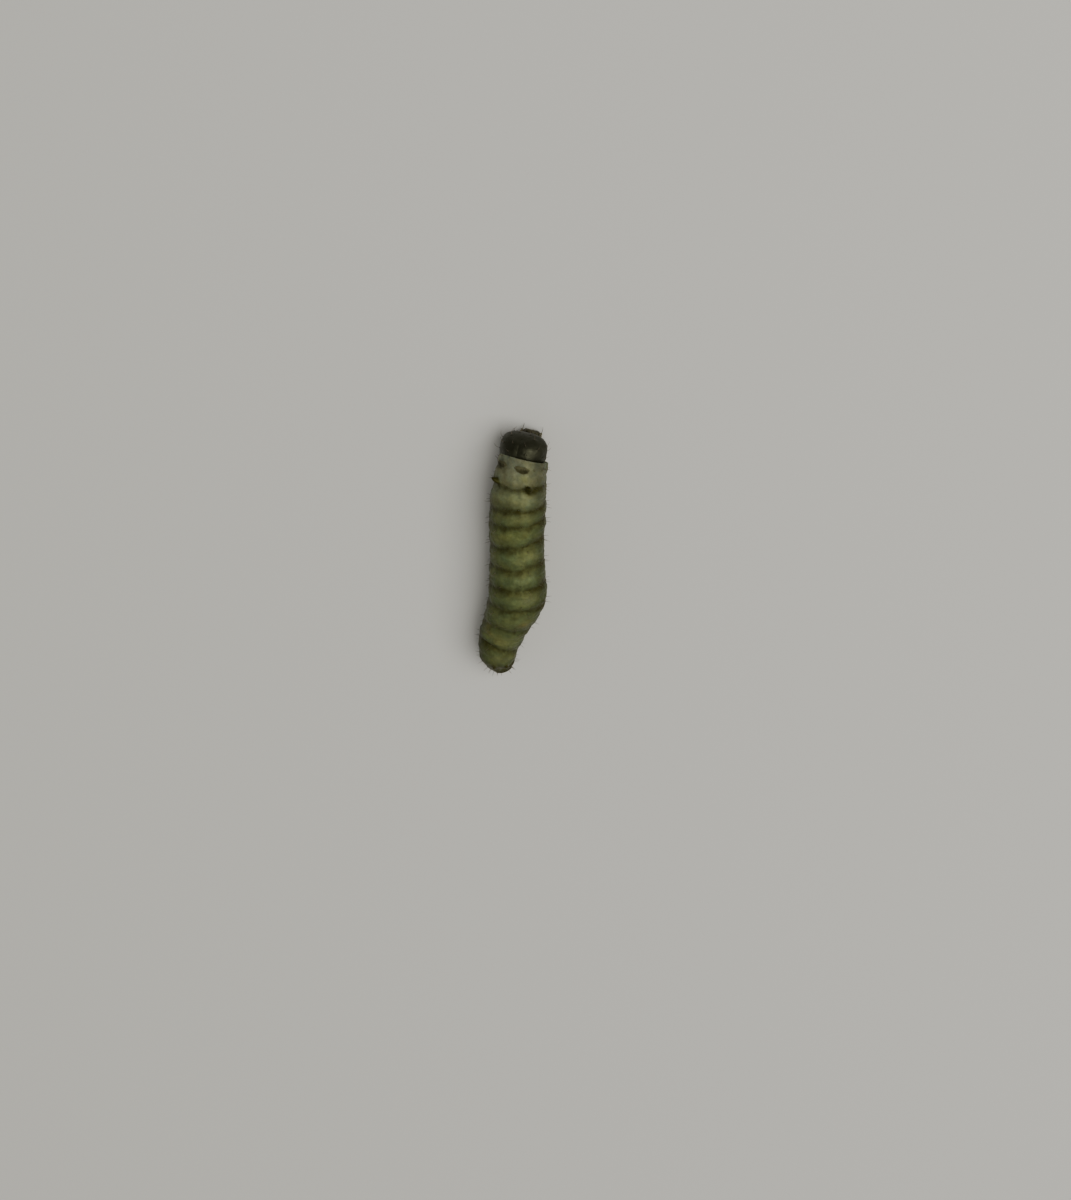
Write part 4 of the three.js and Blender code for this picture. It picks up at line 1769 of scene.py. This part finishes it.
@dataclass
class Head:
    """The head: its capsule with sutures, and all that grows from it.

    Lengths are in millimetres. Places on the face are degrees aside of straight ahead, degrees
    above the level, and, where a third number follows, a length out of the surface.

    Attributes:
        suture_fork: The degrees above the level at which the seam of the face forks.
        suture_foot: Where its branches end.
        seam_pale: How pale the seam is, and how wide, in degrees.
        labrum_notch: How deep its notch is, as a share of its height, and how wide.
        labrum_fold: How deep its two folds are, how far aside, and how wide.
        lens_ring: The middle of the ring of eyes, and half its width and height.
        lens_turns: The first eye's angle on the ring, and the step to the next, in degrees.
        hairs: The place and the length of the hairs on each half of the head.
    """

    form: HeadForm
    shift: Points
    suture_fork: float = 34
    suture_foot: tuple[float, float] = (31, -36)
    suture_bow: float = 0.85
    suture_depth: float = 0.0022
    suture_width: float = 1.8
    cheek: FaceSpot = FaceSpot(0.010, 58, 22, -24, 20)
    lip_groove: FaceSpot = FaceSpot(0.012, 0, 26, -42, 4)
    ripples: tuple[tuple[float, Ripple], ...] = (
        (0.0018, Ripple(0.13, 31)),
        (0.0006, Ripple(0.035, 32)),
    )
    root_height: float = 0.004
    root_reach: tuple[float, float] = (2.2, 4.4)
    seam_pale: tuple[float, float] = (0.05, 1.6)
    lip_pale: FaceSpot = FaceSpot(0.8, 0, 22, -40, 5)
    feeler_root: tuple[float, float] = (39, -44)
    feeler_pale: tuple[float, float] = (0.95, 9)
    labrum_centre: Triple = (0, -0.178, -0.196)
    labrum_half: Triple = (0.082, 0.03, 0.04)
    labrum_notch: tuple[float, float] = (0.42, 0.2)
    labrum_fold: Triple = (0.006, 0.5, 0.3)
    mandible_centre: Triple = (0.062, -0.145, -0.255)
    mandible_half: Triple = (0.052, 0.04, 0.06)
    mandible_taper: float = 0.25
    mandible_turn: float = 0.35
    mandible_gap: float = 0.004
    tooth_height: float = 0.006
    tooth_rate: float = 11
    labium_centre: Triple = (0, 0, -0.272)
    labium_half: Triple = (0.085, 0.05, 0.045)
    spout: tuple[Triple, ...] = ((0, -0.01, -0.008), (0, -0.035, -0.028), (0, -0.06, -0.052))
    spout_radii: tuple[float, ...] = (0.022, 0.019, 0.012, 0.005)
    palp: tuple[Triple, ...] = ((0.05, -0.02, -0.02), (0.056, -0.05, -0.03), (0.05, -0.075, -0.05))
    palp_radii: tuple[float, ...] = (0.02, 0.019, 0.013, 0.015, 0.009, 0.004)
    feeler: tuple[Triple, ...] = ((40, -44, -0.03), (38, -44, 0.02), (33, -46, 0.085))
    feeler_radii: tuple[float, ...] = (
        0.03, 0.031, 0.029, 0.028, 0.021, 0.022, 0.021, 0.014, 0.015, 0.013, 0.006,
    )
    feeler_hair: tuple[Triple, ...] = ((33, -46, 0.083), (30, -47, 0.12), (25, -46, 0.16))
    feeler_hair_radii: tuple[float, ...] = (0.0035, 0.003, 0.001)
    lens_ring: tuple[float, float, float, float] = (58, -24, 15, 17)
    lens_turns: tuple[float, float] = (-70, 44)
    lens_radii: tuple[float, ...] = (0.0184, 0.0184, 0.021, 0.021, 0.0184, 0.0184)
    lens_sink: float = 0.0095
    hairs: tuple[Triple, ...] = (
        (14, 2, 0.063),
        (12, -22, 0.049),
        (30, 18, 0.084),
        (34, -12, 0.056),
        (24, 48, 0.084),
        (58, 34, 0.091),
        (62, 4, 0.077),
        (86, -22, 0.07),
        (92, 18, 0.084),
        (60, 66, 0.077),
        (112, 48, 0.077),
        (76, -46, 0.056),
    )

    def bearings(self, unit: Points, ahead: Points) -> tuple[Points, Points]:
        """How far aside and above the level points of the unit sphere lie, in degrees.

        Args:
            unit: Points of the unit sphere.
            ahead: How far ahead they count as lying.

        Returns:
            The degrees aside and the degrees upward.
        """
        aside = np.degrees(np.arctan2(np.abs(unit[:, 0]), ahead))
        return aside, np.degrees(np.arcsin(np.clip(unit[:, 2], -1, 1)))

    def from_suture(self, unit: Points) -> Points:
        """How far each point lies from the forked seam of the face, as degrees of arc.

        Args:
            unit: Points of the unit sphere.

        Returns:
            The degrees.
        """
        ahead = np.maximum(-unit[:, 1], SMALL)
        aside, level = self.bearings(unit, ahead)
        rise = np.degrees(np.arctan2(unit[:, 2], ahead))
        crown = (rise > self.suture_fork) | ((unit[:, 1] > 0) & (unit[:, 2] > 0.2))
        middle = np.degrees(np.arcsin(np.clip(np.abs(unit[:, 0]), 0, 1)))
        foot_aside, foot_level = self.suture_foot
        share = np.clip((self.suture_fork - level) / (self.suture_fork - foot_level), 0, 1)
        branch = np.abs(aside - foot_aside * share**self.suture_bow)
        beyond = (level < foot_level) | (unit[:, 1] > -0.1)
        return np.where(crown, middle, np.where(beyond, 90, branch))

    def from_place(self, unit: Points, side: int, aside: float, upward: float) -> Points:
        """The arc from each point to a place on the face, in degrees."""
        return np.degrees(np.arccos(np.clip(unit @ direction(side, aside, upward), -1, 1)))

    def hair_places(self) -> Iterator[tuple[int, float, float, float]]:
        """Side, degrees aside, degrees upward and length of each of the head's hairs.

        Yields:
            The four values of each hair.
        """
        for side in SIDES.values():
            for aside, upward, length in self.hairs:
                yield side, aside, upward, length

    def capsule(self, unit: Points) -> Points:
        """The capsule's points with seams, cheeks, hair roots and a faint unevenness.

        Args:
            unit: Points of the unit sphere.

        Returns:
            The points in the larva's frame.
        """
        aside, level = self.bearings(unit, -unit[:, 1])
        lift = -self.suture_depth * bell(self.from_suture(unit), self.suture_width)
        lift += self.cheek.at(aside, level) - self.lip_groove.at(aside, level)
        scaled = unit * (self.form.width / 2)
        lift += sum(height * ripple.at(scaled) for height, ripple in self.ripples)
        for side, across, upward, _ in self.hair_places():
            away = self.from_place(unit, side, across, upward)
            lift += self.root_height * (1 - smooth_step(away, *self.root_reach))
        return self.form.placed(self.form.capsule(unit, lift))

    def pale(self, unit: Points) -> Points:
        """Where the capsule is paler: round the feelers, over the lip, and along the seam.

        Args:
            unit: Points of the unit sphere.

        Returns:
            The paleness, 0 to 1.
        """
        strength, width = self.seam_pale
        marks = strength * bell(self.from_suture(unit), width)
        strength, width = self.feeler_pale
        for side in SIDES.values():
            away = self.from_place(unit, side, *self.feeler_root)
            marks = np.maximum(marks, strength * bell(away, width))
        spot = self.lip_pale.at(*self.bearings(unit, np.maximum(-unit[:, 1], SMALL)))
        return np.maximum(marks, spot)

    def local(self, place: Placer) -> Placer:
        """Carries what is placed in the head's own frame on to the larva's."""
        return lambda unit: self.form.placed(place(unit))

    def build(self, capsule: Material, mouth: Material, lens: Material) -> None:
        """Builds and dresses the head.

        Args:
            capsule: The capsule's material.
            mouth: The mouthparts' material.
            lens: The lenses' material.
        """
        maker = Maker("head_capsule", self.shift)
        maker.add(176, 128, self.capsule, {"pale": self.pale})
        maker.finish(Slot.CAPSULE, capsule, ("head",))
        self.build_labrum(mouth)
        self.build_labium(mouth)
        for name in SIDES:
            self.build_mandible(name, mouth)
            self.build_antenna(name, mouth)
            self.build_stemmata(name, lens)

    def labrum(self, unit: Points) -> Points:
        """Places the upper lip: a shallow shield, notched below, with two faint folds.

        Args:
            unit: Points of the unit sphere.

        Returns:
            The points in the head's own frame.
        """
        notch_depth, notch_width = self.labrum_notch
        fold_depth, fold_aside, fold_width = self.labrum_fold
        notch = np.where(unit[:, 2] < 0, notch_depth * bell(unit[:, 0], notch_width), 0)
        points = unit * np.array(self.labrum_half)
        points[:, 2] *= 1 - notch
        points[:, 1] -= fold_depth * bell(np.abs(unit[:, 0]) - fold_aside, fold_width)
        return points + np.array(self.labrum_centre)

    def build_labrum(self, material: Material) -> None:
        """Builds and dresses the upper lip, which is paler at its lower rim.

        Args:
            material: Its material.
        """
        maker = Maker("upper_lip", self.shift)
        marks = {"pale": lambda unit: 0.35 + 0.5 * smooth_step(-unit[:, 2], 0.3, 0.95)}
        maker.add(40, 26, self.local(self.labrum), marks)
        maker.finish(Slot.CAPSULE, material, ("labrum",))

    def mandible(self, side: int, unit: Points) -> Points:
        """Places a jaw: a blunt wedge with a toothed lower edge, leaning inwards.

        Args:
            side: 1 for the left and -1 for the right.
            unit: Points of the unit sphere.

        Returns:
            The points in the head's own frame.
        """
        points = unit * np.array(self.mandible_half)
        points[:, 0] *= 1 - self.mandible_taper * smooth_step(-unit[:, 2], 0, 1)
        teeth = self.tooth_height * np.cos(unit[:, 0] * self.tooth_rate)
        points[:, 2] += teeth * smooth_step(-unit[:, 2], 0.55, 0.95)
        turn = side * self.mandible_turn
        x = points[:, 0] * math.cos(turn) + points[:, 2] * math.sin(turn)
        z = points[:, 2] * math.cos(turn) - points[:, 0] * math.sin(turn)
        points = np.column_stack([x, points[:, 1], z])
        points += np.array(self.mandible_centre) * (side, 1, 1)
        points[:, 0] = side * np.maximum(side * points[:, 0], self.mandible_gap)
        return points

    def build_mandible(self, name: str, material: Material) -> None:
        """Builds and dresses one of the jaws, which is paler at its root.

        Args:
            name: Its side, "left" or "right".
            material: Its material.
        """
        maker = Maker(f"jaw_{name}", self.shift)
        marks = {"pale": lambda unit: 0.25 * smooth_step(unit[:, 2], 0, 0.8)}
        maker.add(36, 28, self.local(partial(self.mandible, SIDES[name])), marks)
        maker.finish(Slot.PLATE, material, (f"mandible_{name}",))

    def build_labium(self, material: Material) -> None:
        """Builds and dresses the lower lip with its feelers and the silk spout.

        Args:
            material: Its material.
        """
        middle, half = np.array(self.labium_centre), np.array(self.labium_half)
        maker = Maker("lower_lip", self.shift)
        maker.add(32, 22, self.local(lambda unit: unit * half + middle), {"pale": even(0.6)})
        parts = [(1, self.spout, self.spout_radii)]
        parts += [(side, self.palp, self.palp_radii) for side in SIDES.values()]
        for side, course, radii in parts:
            limb = Course(middle + np.array(course) * (side, 1, 1), radii)
            maker.add(16, 22, self.local(limb.place), {"pale": even(0.3)})
        maker.finish(Slot.PLATE, material, ("labium",))

    def build_antenna(self, name: str, material: Material) -> None:
        """Builds and dresses a short feeler of three joints with a hair at its end.

        Args:
            name: Its side, "left" or "right".
            material: Its material.
        """
        side, face = SIDES[name], self.form.face
        limb = Course([face(side, *place) for place in self.feeler], self.feeler_radii, 0.03, 0.05)
        hair = Course([face(side, *place) for place in self.feeler_hair], self.feeler_hair_radii)
        marks = {"pale": lambda unit: 1 - 0.9 * smooth_step(limb.shares(unit), 0.45, 0.85)}
        maker = Maker(f"feeler_{name}", self.shift)
        maker.add(24, 40, self.local(limb.place), marks)
        maker.add(6, 12, self.local(hair.place), {"pale": even(0)})
        maker.finish(Slot.SKIN, material, (f"antenna_{name}",))

    def build_stemmata(self, name: str, material: Material) -> None:
        """Builds and dresses the six small lenses, in a curve on one cheek.

        Args:
            name: Its side, "left" or "right".
            material: Its material.
        """
        aside, upward, half_width, half_height = self.lens_ring
        first, step = self.lens_turns
        maker = Maker(f"eye_{name}", self.shift)
        for index, radius in enumerate(self.lens_radii):
            turn = math.radians(first + index * step)
            across = aside + half_width * math.cos(turn)
            rise = upward + half_height * math.sin(turn)
            middle = self.form.face(SIDES[name], across, rise, -self.lens_sink)
            maker.add(24, 16, self.local(lambda unit: unit * radius + middle))
        maker.finish(Slot.LENS, material, (f"stemmata_{name}",))


@dataclass
class Hairs:
    """All the stiff hairs, as solid tapered curves. Lengths are in millimetres.

    Attributes:
        bends: The shares of its length at which its course is worked out.
        head_curl: The degrees forwards of its middle, and forwards and down of its tip.
    """

    body: BodyForm
    head: Head
    setae: list[Seta]
    shift: Points
    body_radii: tuple[float, ...] = (0.0026, 0.0026, 0.0022, 0.0015, 0.0005)
    body_root: float = 0.012
    bends: tuple[float, ...] = (0, 0.35, 0.7, 1)
    bend: float = 1.6
    lowest: float = 0.008
    head_radii: tuple[float, ...] = (0.003, 0.0028, 0.002, 0.0006)
    head_root: float = 0.008
    head_curl: Triple = (3, 9, 4)

    def body_hair(self, seta: Seta) -> Course:
        """The curve of one hair on the body.

        Args:
            seta: The hair.

        Returns:
            The curve.
        """
        at, angle = np.array([seta.at]), np.radians([seta.degrees])
        root = self.body.surface(at, angle, -self.body_root)[0]
        out = self.body.outward(at, angle)[0]
        way = out + seta.lean * self.body.rings(at).along[0]
        way /= np.linalg.norm(way)
        points = []
        for share in self.bends:
            bent = out * share + (way - out) * share**self.bend
            place = root + bent * (seta.length + self.body_root)
            place[2] = max(place[2] - seta.droop * seta.length * share**2, self.lowest)
            points.append(place)
        return Course(points, self.body_radii, 0.02, 0.02)

    def head_hair(self, side: int, aside: float, upward: float, length: float) -> Course:
        """The curve of one hair on the head, bent a little forwards and down.

        Args:
            side: 1 for the left and -1 for the right.
            aside: Degrees to the side.
            upward: Degrees upward.
            length: The hair's length.

        Returns:
            The curve.
        """
        middle_ahead, tip_ahead, tip_down = self.head_curl
        places = (
            (aside, upward, -self.head_root),
            (aside - middle_ahead, upward, length * 0.5),
            (aside - tip_ahead, upward - tip_down, length),
        )
        points = [self.head.form.face(side, *place) for place in places]
        return Course(points, self.head_radii, 0.02, 0.02)

    def build(self, material: Material) -> None:
        """Builds and dresses the hairs of body and head.

        Args:
            material: Its material.
        """
        marks = {"tip": toward_tip}
        maker = Maker("body_hairs", self.shift, keeps_map=True)
        for seta in self.setae:
            root = (seta.at / self.body.length, (seta.degrees / 360) % 1)
            maker.add(6, 10, self.body_hair(seta).place, marks, root)
        maker.finish(Slot.PLATE, material)
        maker = Maker("head_hairs", self.shift, keeps_map=True)
        for side, aside, upward, length in self.head.hair_places():
            root = (0.5 + side * aside / 360, 0.5 + upward / 180)
            hair = self.head_hair(side, aside, upward, length)
            maker.add(6, 10, self.head.local(hair.place), marks, root)
        maker.finish(Slot.PLATE, material)


@dataclass
class Hooks:
    """The curved hooks in a half ring on the sole of each stumpy foot, in millimetres.

    Attributes:
        ring: The half ring's radius.
        course: For each point of a hook, how far out of the ring and how high it is.
    """

    body: BodyForm
    skin: Skin
    shift: Points
    count: int = 11
    ring: float = 0.04
    course: tuple[tuple[float, float], ...] = ((0, 0.011), (0.012, 0.007), (0.013, 0.0015))
    radii: tuple[float, ...] = (0.0032, 0.003, 0.0022, 0.0008)

    def build(self, material: Material) -> None:
        """Builds and dresses the hooks.

        Args:
            material: Its material.
        """
        maker = Maker("foot_hooks", self.shift)
        level, upward = np.array([1, 1, 0]), np.array([0, 0, 1])
        for at, spread, _ in self.skin.feet():
            rings = self.body.rings(at)
            centre, left, along = rings.centre[0], rings.left[0], rings.along[0]
            for side in SIDES.values():
                middle = (centre + left * side * (spread + self.skin.foot_lean)) * level
                for index in range(self.count):
                    turn = math.pi * (index / (self.count - 1) - 0.5)
                    way = (along * math.sin(turn) - side * left * math.cos(turn)) * level
                    points = [
                        middle + way * (self.ring + out) + upward * height
                        for out, height in self.course
                    ]
                    hook = Course(points, self.radii, 0.04, 0.04)
                    maker.add(6, 8, hook.place, {"tip": toward_tip})
        maker.finish(Slot.PLATE, material)


@dataclass
class Studio:
    """The pale floor, the soft lights and the camera.

    Attributes:
        focus: The place that the camera is aimed by, in metres.
        focus_pixel: Where that place falls in the photograph.
        lights: For each light, its name, its place from the focus and its side in millimetres,
            and its power in watts.
    """

    focus: Vector
    frame_size: tuple[int, int] = (1071, 1200)
    focus_pixel: tuple[float, float] = (517, 548)
    scale: float = 0.0125
    lean_right: float = 13
    lean_head: float = 22
    distance: float = 80
    sensor: float = 36
    clip: tuple[float, float] = (0.001, 10)
    floor_half: float = 0.4
    lights: tuple[tuple[str, Triple, float, float], ...] = (
        ("key_light", (-62, -17, 89), 84, 0.125),
        ("fill_light", (60, 10, 46), 60, 0.003),
        ("rim_light", (-20, 66, 40), 40, 0.004),
    )
    light_colour: Colour = (1, 0.975, 0.9)
    air_colour: Colour = (1, 0.98, 0.92)
    air_strength: float = 0.22

    def build(self) -> None:
        """Makes floor, lights, sky and camera."""
        self.build_floor()
        for name, place, size, power in self.lights:
            self.build_light(name, Vector(place), size, power)
        world = bpy.data.worlds.new("studio_air")
        world.use_nodes = True
        air = world.node_tree.nodes["Background"]
        air.inputs["Color"].default_value = (*self.air_colour, 1)
        air.inputs["Strength"].default_value = self.air_strength
        bpy.context.scene.world = world
        self.build_camera()

    def build_floor(self) -> None:
        """Makes a wide flat floor."""
        mesh = bmesh.new()
        bmesh.ops.create_grid(mesh, x_segments=2, y_segments=2, size=self.floor_half)
        data = bpy.data.meshes.new("pale_floor")
        mesh.to_mesh(data)
        mesh.free()
        data.materials.append(FloorFinish().material())
        floor = bpy.data.objects.new("pale_floor", data)
        bpy.context.scene.collection.objects.link(floor)

    def build_light(self, name: str, place: Vector, size: float, power: float) -> None:
        """Makes a soft square light.

        Args:
            name: The light's name.
            place: Where it stands from the focus, in millimetres.
            size: Its side, in millimetres.
            power: Its power, in watts.
        """
        data = bpy.data.lights.new(name, "AREA")
        data.size = size * MM
        data.energy = power
        data.color = self.light_colour
        light = bpy.data.objects.new(name, data)
        light.location = self.focus + place * MM
        light.rotation_euler = (-place).to_track_quat("-Z", "Y").to_euler()
        bpy.context.scene.collection.objects.link(light)

    def build_camera(self) -> None:
        """Makes a camera above the larva's back, its top towards the head, with a long lens."""
        right_slope, head_slope = (
            math.tan(math.radians(lean)) for lean in (self.lean_right, self.lean_head)
        )
        back = Vector((-right_slope, -head_slope, 1)).normalized()
        ahead = Vector((0, -1, 0))
        up = (ahead - back * ahead.dot(back)).normalized()
        right = up.cross(back)
        wide, high = self.frame_size
        across = (wide / 2 - self.focus_pixel[0]) * self.scale * MM
        down = (high / 2 - self.focus_pixel[1]) * self.scale * MM
        data = bpy.data.cameras.new("photo_camera")
        data.sensor_width = self.sensor
        data.lens = self.sensor * self.distance / (high * self.scale)
        data.clip_start, data.clip_end = self.clip
        camera = bpy.data.objects.new("photo_camera", data)
        aim = self.focus + right * across - up * down
        camera.location = aim + back * self.distance * MM
        camera.rotation_mode = "QUATERNION"
        turned = [[axis[row] for axis in (right, up, back)] for row in range(3)]
        camera.rotation_quaternion = Matrix(turned).to_quaternion()
        bpy.context.scene.collection.objects.link(camera)
        bpy.context.scene.camera = camera


def frame_shift(form: HeadForm) -> Points:
    """How far the solids stand from the body's own measures, in millimetres.

    Args:
        form: The head's form, which is set against the box of the head's solid.

    Returns:
        The shift, level with the floor.
    """
    draw = np.random.default_rng(0).normal(size=(60000, 3))
    points = form.placed(form.capsule(draw / np.linalg.norm(draw, axis=1)[:, None]))
    low, high = (np.array(corner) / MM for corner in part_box("head"))
    shift = (low + high) / 2 - (points.min(0) + points.max(0)) / 2
    return shift * np.array([1, 1, 0])


def main() -> None:
    """Builds every piece in order."""
    logging.basicConfig(level=logging.INFO, format="%(message)s")
    body, head_form = BodyForm(), HeadForm()
    shift = frame_shift(head_form)
    LOG.info("shift %s", shift)
    setae = HairPlan(body).setae()
    capsule = ChitinFinish(
        name="head_chitin",
        dark=(0.005, 0.005, 0.0024),
        pale=(0.09, 0.07, 0.035),
        roughness=(0.4, 0.58),
        gloss=0.36,
        lumps=0.003,
    ).material()
    mouth = ChitinFinish(
        name="mouth_chitin",
        dark=(0.018, 0.015, 0.008),
        pale=(0.1, 0.09, 0.052),
        roughness=(0.4, 0.56),
    ).material()
    plate = ChitinFinish(
        name="plate_chitin",
        dark=(0.015, 0.013, 0.003),
        pale=(0.068, 0.066, 0.032),
        roughness=(0.6, 0.76),
        gloss=0.22,
    ).material()
    leg = ChitinFinish(
        name="leg_chitin", dark=(0.014, 0.011, 0.006), pale=(0.13, 0.115, 0.055)
    ).material()
    hair = HairFinish().material()
    skin = Skin(body, Relief(body, setae), Markings(body, setae), shift)
    skin.build(SkinFinish().material())
    head = Head(head_form, shift)
    head.build(capsule, mouth, LensFinish().material())
    neck_place, tail_place = 0.11, body.at("abdomen_10", 0) + 0.055
    for (name, side), fade in zip(SIDES.items(), (0.5, 0.6)):
        for number, reach in ((1, 0.06), (2, 0.04), (3, 0.02)):
            TrueLeg(number, name, reach).build(body, shift, leg)
        neck = BodyPlate(f"neck_plate_{name}", neck_place, side * 29, 0.03, 18, 0.08, fade, 0.6)
        neck.build(body, shift, plate)
    BodyPlate("anal_plate", tail_place, 0, 0.045, 42).build(body, shift, plate)
    Hairs(body, head, setae, shift).build(hair)
    Hooks(body, skin, shift).build(hair)
    Studio(Vector((*(shift[:2] * MM), 0.43 * MM))).build()


if __name__ == "__main__":
    main()
